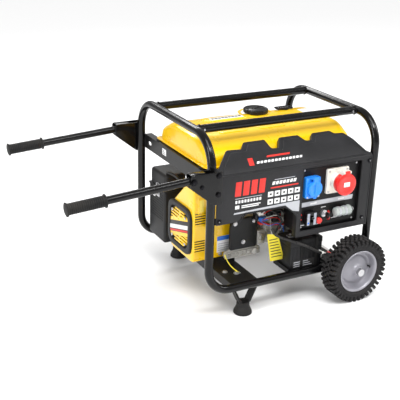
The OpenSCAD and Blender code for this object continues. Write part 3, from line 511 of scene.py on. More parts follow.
black_enamel = finish(
    "black_enamel", "050506", 0.17, 0.08, coat=0.08, dust=0.02, shine=0.28, waves=(26, 0.0006))
bar_enamel = finish("bar_enamel", "070708", 0.30, 0.14, dust=0.04, shine=0.25, waves=(18, 0.0006))
yellow_enamel = finish(
    "yellow_enamel", "f7c600", 0.22, 0.12, coat=0.4, dust=0.05, waves=(9, 0.0010), dust_colour="c9a860")
cover_moulding = finish(
    "cover_moulding", "1a1a1c", 0.42, 0.12, dust=0.05, shine=0.35, grain=(1400, 0.00012),
    dust_colour="77757a")
panel_moulding = finish(
    "panel_moulding", "09090b", 0.40, 0.14, dust=0.04, shine=0.3, grain=(1500, 0.0001))
case_moulding = finish(
    "case_moulding", "121315", 0.44, 0.14, dust=0.07, shine=0.35, grain=(1100, 0.00014))
rubber = finish("rubber", "0b0b0c", 0.58, 0.16, dust=0.07, shine=0.35, grain=(900, 0.00016))
tyre_rubber = finish(
    "tyre_rubber", "161516", 0.66, 0.20, dust=0.20, shine=0.35, dust_scale=26, grain=(700, 0.0002),
    dust_colour="6b6562")
rim_enamel = finish(
    "rim_enamel", "908f96", 0.34, 0.14, metallic=0.35, coat=0.2, dust=0.10, waves=(30, 0.0004))
zinc = finish("zinc", "c6c6c8", 0.26, 0.2, metallic=1.0, dust=0.08, grain=(500, 0.00006))
cast_aluminium = finish(
    "cast_aluminium", "b4b2ad", 0.40, 0.2, metallic=0.6, dust=0.22, dust_scale=22, grain=(420, 0.0003),
    waves=(60, 0.0006), dust_colour="55524c")
cast_iron = finish("cast_iron", "5a5a5c", 0.5, 0.2, metallic=0.8, dust=0.2, grain=(380, 0.0003))
exhaust_paint = finish(
    "exhaust_paint", "4a4744", 0.55, 0.2, metallic=0.5, dust=0.35, dust_scale=14, grain=(500, 0.0002),
    dust_colour="6e4a33")
copper_varnish = finish("copper_varnish", "7b4427", 0.35, 0.2, metallic=0.6, dust=0.2)
blue_plastic = finish("blue_plastic", "1f86ea", 0.28, 0.12, coat=0.15, dust=0.06, grain=(900, 0.00005))
red_plastic = finish("red_plastic", "e2231b", 0.26, 0.12, coat=0.2, dust=0.05, grain=(900, 0.00005))
ivory_plastic = finish("ivory_plastic", "e8e3d8", 0.34, 0.12, dust=0.10, grain=(900, 0.00005))
grey_plastic = finish("grey_plastic", "9ea3ae", 0.40, 0.12, dust=0.10, grain=(1000, 0.00008))
black_plastic = finish(
    "black_plastic", "08080a", 0.28, 0.14, coat=0.05, dust=0.04, shine=0.35, grain=(900, 0.00006))
ceramic = finish("ceramic", "e9e4d8", 0.14, 0.06, coat=0.5, dust=0.1)
battery_case = finish("battery_case", "0f1013", 0.40, 0.16, dust=0.07, shine=0.35, grain=(1200, 0.0001))
cable_sheath = finish("cable_sheath", "141415", 0.45, 0.14, dust=0.14, grain=(1600, 0.00008))
white_print = finish("white_print", "e6e6e6", 0.42, 0.1, dust=0.10, dust_scale=30)
red_print = finish("red_print", "d5281f", 0.40, 0.1, dust=0.08, dust_scale=30)
dark_print = finish("dark_print", "1a1a1b", 0.42, 0.1, dust=0.08, dust_scale=30)
silver_print = finish("silver_print", "b9bbc0", 0.34, 0.1, metallic=0.5, dust=0.1, dust_scale=30)
card_yellow = finish("card_yellow", "f4e23a", 0.5, 0.1, dust=0.15, dust_scale=40, grain=(300, 0.0001))
wire_red = finish("wire_red", "c22218", 0.4, 0.1, dust=0.1)
wire_blue = finish("wire_blue", "2b6fd0", 0.4, 0.1, dust=0.1)
wire_white = finish("wire_white", "dcdcd8", 0.4, 0.1, dust=0.1)
pale_yellow = finish("pale_yellow", "f6dc5a", 0.35, 0.1, dust=0.1)
black_oxide = finish("black_oxide", "1c1c1f", 0.24, 0.16, metallic=0.9, dust=0.05)
lamp_red = finish("lamp_red", "b1100c", 0.12, 0.05, coat=0.6, dust=0.04)
tie_white = finish("tie_white", "e4e4e0", 0.4, 0.1, dust=0.08)
# Near-black painted shade: it fills socket holes, louvre gaps and the opening behind the grille, where
# only shade falls.
painted_hollow_shade = finish("painted_hollow_shade", "050505", 0.8, 0.1, dust=0.1)
print(len(bpy.data.materials), "materials")

# %% [markdown]
# ## What repeats
#
# Tread lugs, cap ribs, cooling fins and weld beads are one small block set out again and again. Two
# Geometry Nodes trees do it: one sets blocks round a ring, the other along a row. Both end in
# Realize Instances and Set Material, and their result is turned into a plain mesh before use.

# %% Blocks round a ring
def tree_with(name, inputs):
    tree = bpy.data.node_groups.new(name, "GeometryNodeTree")
    for label, kind, value in inputs:
        s = tree.interface.new_socket(label, in_out="INPUT", socket_type="NodeSocket" + kind)
        if value is not None:
            s.default_value = value
    tree.interface.new_socket("Geometry", in_out="OUTPUT", socket_type="NodeSocketGeometry")
    return tree, tree.nodes.new("NodeGroupInput"), tree.nodes.new("NodeGroupOutput")


RING, gin, gout = tree_with(
    "blocks_round_a_ring",
    [
        ("Count", "Int", 36), ("Radius", "Float", 0.1), ("Height", "Float", 0.0),
        ("Phase", "Float", 0.0), ("Block", "Vector", (0.01, 0.01, 0.01)), ("Turn", "Vector", (0, 0, 0)),
        ("Finish", "Material", None)])
spots = node(RING, "GeometryNodeMeshLine", {"Count": gin.outputs["Count"]})
index = node(RING, "GeometryNodeInputIndex")
step = node(RING, "ShaderNodeMath", {0: 2 * math.pi, 1: gin.outputs["Count"]}, operation="DIVIDE")
angle = node(
    RING, "ShaderNodeMath", {0: index.outputs[0], 1: step.outputs[0], 2: gin.outputs["Phase"]},
    operation="MULTIPLY_ADD")
cosine = node(RING, "ShaderNodeMath", {0: angle.outputs[0]}, operation="COSINE")
sine = node(RING, "ShaderNodeMath", {0: angle.outputs[0]}, operation="SINE")
px = node(
    RING, "ShaderNodeMath", {0: cosine.outputs[0], 1: gin.outputs["Radius"]}, operation="MULTIPLY")
py = node(RING, "ShaderNodeMath", {0: sine.outputs[0], 1: gin.outputs["Radius"]}, operation="MULTIPLY")
place = node(
    RING, "ShaderNodeCombineXYZ", {"X": px.outputs[0], "Y": py.outputs[0], "Z": gin.outputs["Height"]})
placed = node(
    RING, "GeometryNodeSetPosition", {"Geometry": spots.outputs["Mesh"], "Position": place.outputs[0]})
lug = node(RING, "GeometryNodeMeshCube", {"Size": gin.outputs["Block"]})
faced = node(RING, "ShaderNodeCombineXYZ", {"Z": angle.outputs[0]})
ring_of = node(
    RING, "GeometryNodeInstanceOnPoints",
    {
        "Points": placed.outputs["Geometry"], "Instance": lug.outputs["Mesh"],
        "Rotation": faced.outputs[0]})
tilted = node(
    RING, "GeometryNodeRotateInstances",
    {"Instances": ring_of.outputs["Instances"], "Rotation": gin.outputs["Turn"]})
real = node(RING, "GeometryNodeRealizeInstances", {"Geometry": tilted.outputs["Instances"]})
dressed = node(
    RING, "GeometryNodeSetMaterial",
    {"Geometry": real.outputs["Geometry"], "Material": gin.outputs["Finish"]})
RING.links.new(dressed.outputs["Geometry"], gout.inputs["Geometry"])

# %% Blocks along a row
ROW, gin, gout = tree_with(
    "blocks_along_a_row",
    [
        ("Count", "Int", 8), ("Start", "Vector", (0, 0, 0)), ("Step", "Vector", (0, 0, 0.01)),
        ("Block", "Vector", (0.01, 0.01, 0.01)), ("Turn", "Vector", (0, 0, 0)),
        ("Finish", "Material", None)])
spots = node(
    ROW, "GeometryNodeMeshLine",
    {
        "Count": gin.outputs["Count"], "Start Location": gin.outputs["Start"],
        "Offset": gin.outputs["Step"]})
slat = node(ROW, "GeometryNodeMeshCube", {"Size": gin.outputs["Block"]})
row_of = node(
    ROW, "GeometryNodeInstanceOnPoints",
    {
        "Points": spots.outputs["Mesh"], "Instance": slat.outputs["Mesh"],
        "Rotation": gin.outputs["Turn"]})
real = node(ROW, "GeometryNodeRealizeInstances", {"Geometry": row_of.outputs["Instances"]})
dressed = node(
    ROW, "GeometryNodeSetMaterial",
    {"Geometry": real.outputs["Geometry"], "Material": gin.outputs["Finish"]})
ROW.links.new(dressed.outputs["Geometry"], gout.inputs["Geometry"])


# %% Running a tree
IN_MILLIMETRES = ("Radius", "Height", "Block", "Start", "Step")


def grown(tree, ink, bevel, values):
    """The tree's result as a bmesh in millimetres, its blocks' edges rounded by bevel."""
    holder = bpy.data.objects.new("holder", bpy.data.meshes.new("holder"))
    bpy.context.scene.collection.objects.link(holder)
    modifier = holder.modifiers.new("blocks", "NODES")
    modifier.node_group = tree
    values["finish"] = ink
    for item in tree.interface.items_tree:
        if item.in_out == "INPUT" and item.name.lower() in values:
            value = values[item.name.lower()]
            if item.name in IN_MILLIMETRES:
                value = [v / 1000 for v in value] if hasattr(value, "__len__") else value / 1000
            modifier[item.identifier] = value
    graph = bpy.context.evaluated_depsgraph_get()
    mesh = bpy.data.meshes.new_from_object(holder.evaluated_get(graph))
    bm = bmesh.new()
    bm.from_mesh(mesh)
    bpy.data.objects.remove(holder)
    bpy.data.meshes.remove(mesh)
    bmesh.ops.scale(bm, vec=(1000, 1000, 1000), verts=bm.verts[:])
    if bevel:
        bmesh.ops.bevel(bm, geom=bm.edges[:], offset=bevel, segments=1, affect="EDGES")
    return bm


# %% [markdown]
# ## Wheels
#
# The tyre is a smooth carcass with tall rubber lugs: a row over each shoulder, staggered, and a
# zigzag of blocks between them. The carcass is a turned profile. The rim is two deep pressings with
# rolled lips, welded to a hub tube, so it is one closed turned section.

# %% Tyres and rims
WHEEL_X, WHEEL_Y, WHEEL_Z, TYRE_LUGS = 233, 317, 116, 38
RIM_PROFILE = [
    (71, 24), (72.5, 28), (76, 29.5), (76.6, 31), (75.4, 32.2), (73, 31.6), (69.4, 28), (68, 22),
    (66.5, 12), (63.5, 6), (60, 4.4), (53, 4.6), (50, 6.6), (47.5, 8), (44, 8.4), (27, 15.4),
    (21, 18.8), (17, 24), (16.4, 28), (14, 29), (8.3, 29), (8.3, -29), (14, -29), (15, -27), (15, 8),
    (27, 11), (43, 4.6), (53, 1), (62, -2), (66, -12), (69.4, -28), (73, -31.6), (75.4, -32.2),
    (76.6, -31), (76, -29.5), (72.5, -28), (71, -24)]


def wheel(name, body, side):
    where = move(WHEEL_X, side * WHEEL_Y, WHEEL_Z, spin(-90 * side, "X"))
    tyre = Shape(tyre_rubber)
    tyre.add(
        turned(
            [
                (71, -24), (73, -28), (80, -31), (90, -32.4), (98, -31), (103, -26), (104.6, -12),
                (105, 0), (104.6, 12), (103, 26), (98, 31), (90, 32.4), (80, 31), (73, 28), (71, 24)],
            96, closed=True), where=where)
    pitch = 2 * math.pi / TYRE_LUGS
    for s in (-1, 1):
        tyre.add(
            turned(
                [(82, s * 30.6), (84, s * 32.8), (86.4, s * 33), (88, s * 31.4), (85, s * 30.2)], 96,
                closed=True), where=where)
        for radius, height, shift, size, lean, roundness in (
                (108.6, 22.5, 1, (14.4, 10.6, 20), (0.12, 0, 0), 1.2),
                (100.5, 30.6, 1, (16, 9.6, 6.8), (0, -0.42, 0), 1.1),
                (109.2, 6.4, -1, (13, 9.8, 13.4), (-0.42, 0, 0), 1.0)):
            tyre.grow(
                RING, where=where, bevel=roundness, count=TYRE_LUGS, radius=radius, height=s * height,
                phase=pitch / 4 * s * shift, block=size, turn=[c * s for c in lean])
    tyre.finish(name + "_tread", body, "tyre_rubber", [name + "_tyre"])
    rim = Shape()
    rim.add(turned(RIM_PROFILE, 96, closed=True), rim_enamel, where)
    rim.add(tube([(59, 0, 5), (59, 0, 13), (58, 0, 16)], 3.2, 12), black_plastic, where)
    rim.finish(name + "_pressed_rim", body, "rim_paint", [name + "_rim"])


wheel("front", "front_wheel", -1)
wheel("rear", "rear_wheel", 1)

# %% [markdown]
# ## Grips
#
# A moulded rubber grip has a flange at each end, shallow rings between them and a rounded nose. Its
# profile repeats by a rule, so a short loop writes the profile and one turn makes the grip.


# %% Grips on the handles
PIVOT_X, PIVOT_Z, HANDLE_Y, GRIP_END = -399, 525, 296, 397


def grip(name, body, side, node_name):
    profile = [(0, 0), (17, 0.6), (21, 2.4), (21.4, 4), (20.4, 6), (17.4, 7.5)]
    for k in range(17):
        start = 10 + k * 6.2
        profile += [(17.3, start), (17.3, start + 3.2), (15.9, start + 4.2), (15.9, start + 5.4)]
    profile += [(17.3, 117), (20.2, 118), (21, 119.6), (20.6, 121.4), (17, 122), (12.6, 122)]
    profile += [(12.6, 120), (12.6, 8), (0, 7.5)]
    pivot = move(PIVOT_X, side * HANDLE_Y, PIVOT_Z)
    where = pivot @ spin(-4, "Y") @ move(-GRIP_END, 0, 0) @ spin(90, "Y")
    Shape().add(turned(profile, 40), rubber, where).finish(name, body, "rubber", [node_name])


grip("front_rubber_grip", "front_handle", -1, "front_grip")
grip("rear_rubber_grip", "rear_handle", 1, "rear_grip")

# %% [markdown]
# ## Handle brackets and bolts
#
# Each bracket is two laser-cut plates with a folded web. The CAD plates are right but sharp, so here
# they get a small rounded edge, and the bolt heads become flanged hex heads.

# %% Brackets
def bolt(size, washer=None):
    """A hex head with a washer, standing on Z = 0."""
    bm = turned([(0, 0), (washer or size * 1.25, 0), (washer or size * 1.25, 1.4), (0, 1.5)], 24)
    head = plate(circle(size, 6), size * 0.62, 0.5, steps=2)
    head.transform(move(0, 0, 1.4 + size * 0.62))
    mesh = bpy.data.meshes.new("head")
    head.to_mesh(mesh)
    head.free()
    bm.from_mesh(mesh)
    bpy.data.meshes.remove(mesh)
    return bm


brackets = Shape()
bracket_line = soften(
    [(-410, 505), (-329, 440), (-301, 440), (-301, 546), (-405, 546), (-410, 540)], [8, 8, 6, 6, 8, 3])
bolts = Shape()
for side in (-1, 1):
    for outer in (283, 312):
        front = outer if side < 0 else 3 - outer
        brackets.add(plate(bracket_line, 3, 0.7), black_enamel, move(0, -front, 0, FACING_FRONT))
    middle = side * HANDLE_Y
    brackets.add(block((-405, middle - 14, 543), (-355, middle + 14, 546), 1.2), black_enamel)
    for x, z, size in ((PIVOT_X, PIVOT_Z, 9), (-372, 505, 6), (-315, 474, 7.5), (-315, 535, 7.5)):
        bolts.add(bolt(size), black_oxide, move(x, side * 312, z, spin(-90 * side, "X")))
        bolts.add(
            rod(size * 0.55, 0, 31, 20), black_oxide, move(x, side * 281, z, spin(-90 * side, "X")))
brackets.finish("handle_bracket_plates", "generator", "frame_black", ["handle_brackets"])
bolts.finish("handle_hex_bolts", "generator", "zinc", ["handle_bolts"])

# %% [markdown]
# ## The tank
#
# The upper half is one deep pressing: a flat top, sides that fall in a soft curve, ends with a small
# radius, and a rolled weld flange all round. It is a loft: one cross-section of the sides is carried
# along the tank and drawn in over the last few centimetres of each end.

# %% Upper pressing
TANK_HALF, SEAM = 285, 513.5
DECK = SEAM + 78
FILLER, GAUGE = (52, 88), (175, 94)
SECTION = [
    (180, 0), (180.5, 8), (180, 20), (177, 31), (170, 40), (160, 47.5), (146, 55), (132, 62.5),
    (120, 68.5), (108, 73), (96, 75.8), (80, 77.2), (60, 77.8), (30, 78), (0, 78)]


def tank_ring(draw):
    """Half of a cross-section drawn in by a length, as (y, height)."""
    return [(y * (1 - draw / 190), h * (1 - draw / 150) if h > 0 else 0) for y, h in SECTION]


tank = Shape(yellow_enamel)
bm = bmesh.new()
stations = [
    (-TANK_HALF + 32 * (1 - math.cos(math.pi / 2 * k / 8)), 32 * (1 - math.sin(math.pi / 2 * k / 8)))
    for k in range(9)]
middle = [(-TANK_HALF + 32 + (2 * TANK_HALF - 64) * k / 60, 0) for k in range(1, 60)]
stations = stations + middle + [(-x, d) for x, d in reversed(stations)]
rings = []
for x, draw in stations:
    half = tank_ring(draw)
    full = half + [(-y, h) for y, h in reversed(half[:-1])]
    rings.append([bm.verts.new((x, y, SEAM + h)) for y, h in full])
for a, b in zip(rings, rings[1:]):
    for i in range(len(a) - 1):
        bm.faces.new((a[i], a[i + 1], b[i + 1], b[i]))
    bm.faces.new((a[-1], a[0], b[0], b[-1]))
bm.faces.new(rings[0])
bm.faces.new(rings[-1])
bmesh.ops.recalc_face_normals(bm, faces=bm.faces[:])
tank.add(bm)
tank.add(plate(rectangle(-294, -189, 294, 189, 18, 6), 3.2, 1.3), where=move(0, 0, SEAM + 1.4))
tank.add(
    turned([(30, -8), (30, 6.4), (29.4, 8), (27, 8), (26, 6), (26, -8)], 48), where=move(*FILLER, DECK))
tank.add(
    turned([(53, 0.2), (56, 1.4), (59, 1.8), (62, 1.2), (65, 0.1), (53, -0.6)], 64, closed=True),
    where=move(*FILLER, DECK - 0.1))
emboss = soften(
    [(-176, 140), (-150, 122), (-20, 118), (18, 134), (14, 152), (-20, 163), (-150, 168), (-174, 158)],
    14)
tank.add(plate(emboss, 3, 1.6), where=move(0, -76, DECK + 1.6))
tank.add(plate(rectangle(-146, 52, -16, 78, 3), 0.6, 0.2), white_print, move(0, 0, DECK + 2))
for k in range(9):
    tank.add(
        block((-140 + k * 13.4, 60, 0), (-130 + k * 13.4, 70, 0.4), 0.1), dark_print,
        move(0, 0, DECK + 2))
for x0, y0, x1, y1, lift in ((-120, 96, -40, 106, -1.6), (214, -20, 262, 66, 0.4)):
    tank.add(plate(rectangle(x0, y0, x1, y1, 3), 0.5, 0.1), white_print, move(0, 0, DECK + lift))
for x in (-190, -40, 110):
    tank.add(plate(rectangle(x, -92, x + 110, -52, 18, 6), 2.4, 1.4), where=move(0, 0, DECK + 1))
tank.finish("tank_pressing", "generator", "tank_yellow", ["tank_upper"], sharp=50)

# %% Fuel cap
cap = Shape(black_plastic, move(*FILLER, DECK + 1.5))
cap.add(
    turned(
        [
            (0, 15.4), (14, 15.6), (30, 15), (33, 13.6), (36, 13.8), (40, 15.6), (42.6, 14.6),
            (43.6, 12), (43.6, 1), (42.6, 0), (34, 0), (34, 9.8), (0, 9.8)], 60))
cap.grow(RING, bevel=0.8, count=30, radius=42.9, height=7.4, block=(3.6, 4.6, 12.4))
cap.add(block((-20, -4, 12), (20, 4, 18), 2), where=move(*FILLER, DECK + 1.5, spin(30, "Z")))
cap.finish("fuel_cap_moulding", "cap", "black_plastic", ["fuel_cap"])

# %% Fuel gauge
gauge = Shape(None, move(*GAUGE, DECK + 1.7))
gauge.add(
    plate(rectangle(-33, -15, 33, 15, 5), 5.4, 1.6, [rectangle(-25, -8, 25, 8, 3)]), black_plastic,
    move(*GAUGE, DECK + 7.1))
gauge.add(block((-25.5, -8.5, 0), (25.5, 8.5, 2.6), 0.4), dark_print)
gauge.row(5, (9.6, 0, 0), (-20, 3, 0), (-18.6, 7, 3), 0.1, white_print)
gauge.add(block((-21, -4, 0), (-2, -1.6, 3.1), 0.1), red_print)
gauge.add(
    turned([(18, -24), (18, 0), (0, 0), (0, -24)][::-1], 32), black_plastic,
    move(GAUGE[0], GAUGE[1] - 2, DECK + 1.3))
gauge.finish("gauge_bezel", "generator", "black_plastic", ["fuel_gauge"])

# %% [markdown]
# ## The front cover
#
# One thick moulding: a flat face with a window for the control panel, and a fairing that leans back
# over the tank with a stepped upper edge. Both are rounded plates; the fairing's steps have deep
# returned edges, which a thicker plate gives.

# %% Cover and fairing
COVER_Y = -277
face = [
    (-300, 353), (-220, 353), (-195, 377), (-46, 377), (4, 337), (4, 257), (300, 257), (300, 512),
    (-300, 512)]
cover = Shape(cover_moulding)
window = rectangle(22.5, 276.5, 257.5, 497.5, 7, 5)
cover.add(
    plate(soften(face, [4, 10, 10, 12, 14, 5, 5, 1, 1]), 3, 1.2, [window]),
    where=move(0, COVER_Y, 0, FACING_FRONT))
fairing = [
    (-299.5, 0), (-299.5, 6), (-279, 38), (-224, 103), (-168, 100), (-150, 126), (-70, 126), (-62, 86),
    (-36, 84), (-14, 126), (60, 126), (78, 98), (100, 98), (117, 126), (190, 126), (202, 112),
    (238, 110), (262, 78), (284, 20), (299.5, 8), (299.5, 0)]
fairing_radii = [0, 3, 8, 7, 6, 5, 5, 6, 6, 5, 5, 6, 6, 5, 5, 6, 6, 10, 4, 2, 0]
lean = move(0, COVER_Y, 513, spin(32, "X"))
cover.add(plate(soften(fairing[::-1], fairing_radii[::-1]), 16, 2.6), where=lean)
inner = soften(
    [
        (-281, 5), (-262, 34), (-214, 89), (-158, 86), (-141, 112), (-81, 112), (-72, 73), (-27, 71),
        (-5, 112), (51, 112), (69, 84), (108, 84), (126, 112), (182, 112), (194, 98), (231, 97),
        (252, 72), (272, 5)][::-1], 6)
cover.add(plate(inner, 3.4, 2.2), where=lean @ move(0, 0, 2.4))
for low, high in (
        ((-296, -277.8, 509), (296, -274, 514.4)), ((4, -278.4, 257), (300, -255, 262)),
        ((4, -278.4, 258), (9, -255, 335)), ((-219, -276, 373.5), (-48, -254, 377)),
        ((295, -278.4, 259), (300, -256, 508)), ((259.5, -277.9, 270), (262, -275, 504))):
    cover.add(block(low, high, 1.2))
for low, high in (
        ((17, -278, 498), (263, -274.5, 501)), ((17, -278, 273), (263, -274.5, 276)),
        ((19, -278, 274), (22, -274.5, 500))):
    cover.add(block(low, high, 1))
cover.add(
    tube(curve([(-216, -278, 352), (-192, -278, 380), (-44, -278, 380), (7, -278, 339)], 1), 1.6, 8))


def print_bar(x0, z0, x1, z1, ink, y=COVER_Y - 0.3, slant=0.0):
    """A flat printed bar on the cover's face."""
    low = [(x0, z0), (x1, z0), (x1 + slant, z1), (x0 + slant, z1)]
    cover.add(plate(soften(low, 1.2), 0.5, 0.1), ink, move(0, y, 0, FACING_FRONT))


for k in range(4):
    print_bar(-236 + k * 29, 441, -214 + k * 29, 489, red_print, slant=3)
print_bar(-234, 432, -136, 434, silver_print)
for k in range(9):
    print_bar(-233 + k * 11, 417, -226 + k * 11, 427, white_print)
print_bar(-233, 398, -218, 410, white_print)
print_bar(-210, 405, -140, 408.5, white_print)
print_bar(-210, 399, -146, 402.5, white_print)
for k in range(7):
    print_bar(-100 + k * 13.5, 461, -90 + k * 13.5, 472, white_print, slant=3)
print_bar(-92, 477, -14, 479, silver_print, slant=2)
print_bar(-104, 449, 2, 453.5, red_print)
for row in range(2):
    for k in range(5):
        x, z = -113 + k * 25.6, 421 - row * 26
        print_bar(x, z, x + 20, z + 18, white_print)
        print_bar(x + 6, z + 6, x + 14, z + 12, dark_print, COVER_Y - 0.6)
stripe = [(-238, 381), (-44, 381), (-14, 358), (12, 352), (12, 391), (-40, 391), (-236, 386)]
cover.add(plate(soften(stripe, 2), 0.5, 0.1), silver_print, move(0, COVER_Y - 0.3, 0, FACING_FRONT))
for x0, s0, x1, s1, ink, parts in (
        (-174, 26, -156, 56, red_print, 1), (-100, 50, -12, 57, red_print, 1),
        (-146, 30, 30, 39, white_print, 13)):
    for j in range(parts):
        a = x0 + (x1 - x0) * j / parts
        b = a + (x1 - x0) / parts * (0.72 if parts > 1 else 1)
        cover.add(
            plate(soften([(a, s0), (b, s0), (b + 5, s1), (a + 5, s1)], 1.5), 0.5, 0.1), ink,
            lean @ move(0, 0, 2.8))
cover.finish("cover_moulded_face", "generator", "cover_plastic", ["front_cover"])

# %% Cover screws
screws = Shape()
# In each black head a small zinc nub is a painted glint: it gives the screw its bright centre.
for x, z in ((-290, 492), (288, 492), (-290, 366), (278, 286)):
    screws.add(
        turned(
            [
                (0, 0), (8.4, 0), (8.4, 1), (6.2, 1.4), (5.8, 3), (4.6, 4.4), (2.6, 5), (2.4, 3.6),
                (0, 3.6)], 28), black_oxide, move(x, COVER_Y, z, spin(90, "X")))
    screws.add(
        turned([(0, 3.5), (2.4, 3.5), (1.4, 4.4), (0, 4.4)], 6), zinc,
        move(x, COVER_Y, z, spin(90, "X")))
screws.finish("cover_pan_screws", "generator", "zinc", ["cover_screws"])

# %% [markdown]
# ## The control panel
#
# The panel itself is a flat moulding at the back of the window. What shows on it is print, lamps and
# small fittings, all static, so they are one piece that rides with the set.

# %% Panel details
PANEL_Y = -262
BLUE, CEE = (60, 428), (166, 436)
BREAKER, KEY, BUTTON, CAPSULE = (62, 317), (122, 323), (101, 301), (194, 326)
trim = Shape()


def on_panel(x, z, lift=0.0):
    """A fitting's own Z points out of the panel."""
    return move(x, PANEL_Y - lift, z, FACING_FRONT)


def panel_bar(x0, z0, x1, z1, ink, lift=0.25):
    trim.add(
        plate(rectangle(x0, z0, x1, z1, min(1.0, (z1 - z0) * 0.3), 2), 0.5, 0.1), ink,
        on_panel(0, 0, lift))


trim.add(
    plate(soften([(26, 356), (240, 356), (243, 372), (26, 372)], 2), 1.2, 0.4), silver_print,
    on_panel(0, 0, 0.8))
for x in (66, 180):
    panel_bar(x, 361, x + 26, 367, white_print, 1.1)
for z in (326, 309):
    panel_bar(27, z, 36, z + 5, red_print)
for x0, z0, x1, z1 in (
        (28, 289, 78, 291.5), (92, 284, 116, 286), (158, 297, 190, 299), (200, 300, 232, 302),
        (112, 343, 132, 345)):
    panel_bar(x0, z0, x1, z1, white_print)
for x, z, r in ((143, 322, 6.5), (145, 300, 6.5)):
    trim.add(
        turned([(0, 6.4), (r * 0.5, 6), (r * 0.86, 4.6), (r, 2.4), (r, 0)], 28), lamp_red,
        on_panel(x, z))
    trim.add(
        turned(
            [(r + 2.2, 0), (r + 2.2, 1.6), (r + 1.4, 2.2), (r + 0.1, 2.2), (r + 0.1, 0)], 28,
            closed=True), black_plastic, on_panel(x, z))
for x, z in ((34, 486), (246, 486), (34, 284), (246, 284)):
    trim.add(turned([(0, 1.8), (2.2, 1.8), (3.6, 1), (4, 0)], 20), zinc, on_panel(x, z))
trim.add(
    plate(rectangle(32, 380, 248, 490, 8), 1.0, 0.6, [rectangle(34.5, 382.5, 245.5, 487.5, 6)]),
    panel_moulding, on_panel(0, 0, 0.9))
trim.add(
    plate(rectangle(78, 290, 150, 350, 8), 1.0, 0.6, [rectangle(80, 292, 148, 348, 6)]), panel_moulding,
    on_panel(0, 0, 0.9))
trim.finish("panel_trim", "generator", "panel_plastic")

# %% Hinges of the socket lids
def ears(shape, ink, where, reach, lift, depth):
    """Two ears on a socket with the pin that its lid turns on."""
    for s in (-1, 1):
        shape.add(
            block(
                (s * 12.5 - 1.9, reach - 4.5, lift - depth), (s * 12.5 + 1.9, reach + 4, lift + 3.5),
                1.2), ink, where)
    shape.add(rod(1.2, -11, 11, 16), zinc, where @ move(0, reach, lift, spin(90, "Y")))


def knuckle(shape, ink, where, reach, r):
    """The tongue and the rolled end that turn on that pin."""
    shape.add(block((-9.8, reach - 18, 0.2), (9.8, reach, 2 * r - 0.3), 1.4), ink, where)
    shape.add(sleeve(1.3, r, -9.8, 9.8, 24), ink, where @ move(0, reach, r, spin(90, "Y")))


# %% Blue mains socket
blue = Shape(blue_plastic, on_panel(*BLUE))
blue.add(
    plate(rectangle(-28, -36, 28, 36, 7), 20, 2.4, [rectangle(-19, -19, 19, 19, 18.8, 8)]),
    where=on_panel(*BLUE, 20))
blue.add(
    turned([(25, 0), (25, 26.6), (24, 28), (21, 28), (20, 27), (20, 12), (25, 12)], 48, closed=True))
blue.add(turned([(20, 12), (0, 12), (0, -13.5), (19.4, -13.5), (19.4, 5)], 40))
blue.add(block((-17, 33, 0), (17, 38, 26), 2.2))
ears(blue, blue_plastic, on_panel(*BLUE), 38.5, 31.5, 11)
# In each pin hole a near-black disc is painted shade for the hole's depth.
for s in (-1, 1):
    blue.add(rod(2.4, 12.2, 12.6, 16), painted_hollow_shade, on_panel(BLUE[0] + s * 9.5, BLUE[1]))
    blue.add(block((-3, s * 20 - 1.4, 12), (3, s * 20 + 1.4, 25), 0.6), zinc)
    blue.add(
        turned([(0, 22.6), (2.4, 22.4), (3.4, 21.4), (3.6, 20)], 16), zinc,
        on_panel(BLUE[0] + s * 22, BLUE[1] - 31))
blue.finish("mains_socket_body", "generator", "blue_plastic", ["blue_socket"])
lid = Shape(blue_plastic, on_panel(*BLUE, 28.5))
lid.add(
    turned(
        [(0, 4.6), (16, 4.6), (18.6, 5.8), (24.4, 5.8), (26.6, 4.6), (27, 2.6), (27, 0), (0, 0)], 56))
knuckle(lid, blue_plastic, on_panel(*BLUE, 28.5), 38.5, 3)
lid.add(block((-5.5, -33.5, 0.6), (5.5, -22, 5.4), 1.6))
lid.add(block((-2.6, -18, 4), (2.6, 22, 7.4), 1.3))
lid.grow(ROW, bevel=0.2, count=4, start=(0, -31.6, 5.5), step=(0, 2.4, 0), block=(9, 0.9, 1.0))
lid.finish("mains_socket_lid", "blue_lid", "blue_plastic", ["blue_lid"])

# %% Three-phase socket
cee = Shape(ivory_plastic, on_panel(*CEE))
cee.add(plate(rectangle(-44, -44, 44, 44, 6), 9, 2.2, [circle(28, 32)]), where=on_panel(*CEE, 9))
cee.add(
    turned([(32.6, 0), (32.6, 50), (31, 52), (29.4, 52), (29, 51), (29, 10), (32, 8)], 56, closed=True))
cee.add(
    turned(
        [(33.6, 30), (34.6, 32), (34.6, 46), (33.4, 47.5), (32.4, 47.5), (32.4, 30)], 56, closed=True),
    red_plastic)
cee.add(rod(28.9, 10.4, -13.5, 40))
# In each pin hole a near-black disc is painted shade for the hole's depth.
for k in range(5):
    a = math.radians(90 + 72 * k)
    cee.add(
        rod(3, 10.6, 11, 16), painted_hollow_shade,
        on_panel(CEE[0] + 17 * math.cos(a), CEE[1] + 17 * math.sin(a)))
cee.add(block((-13, 30, 0), (13, 42, 52), 2.4))
ears(cee, ivory_plastic, on_panel(*CEE), 43, 56.5, 16)
for sx in (-1, 1):
    for sz in (-1, 1):
        cee.add(
            turned([(0, 11.4), (2.6, 11.2), (3.8, 10.4), (4, 8.9)], 20), zinc,
            on_panel(CEE[0] + sx * 36, CEE[1] + sz * 36))
cee.finish("three_phase_body", "generator", "white_plastic", ["cee_socket"])
lid = Shape()
lid.add(
    turned(
        [(0, 6.6), (24, 6.6), (27, 7.8), (34, 7.8), (37, 6.4), (37.8, 4), (37.8, 0.4), (37, 0), (0, 0)],
        64), red_plastic, on_panel(*CEE, 52.6))
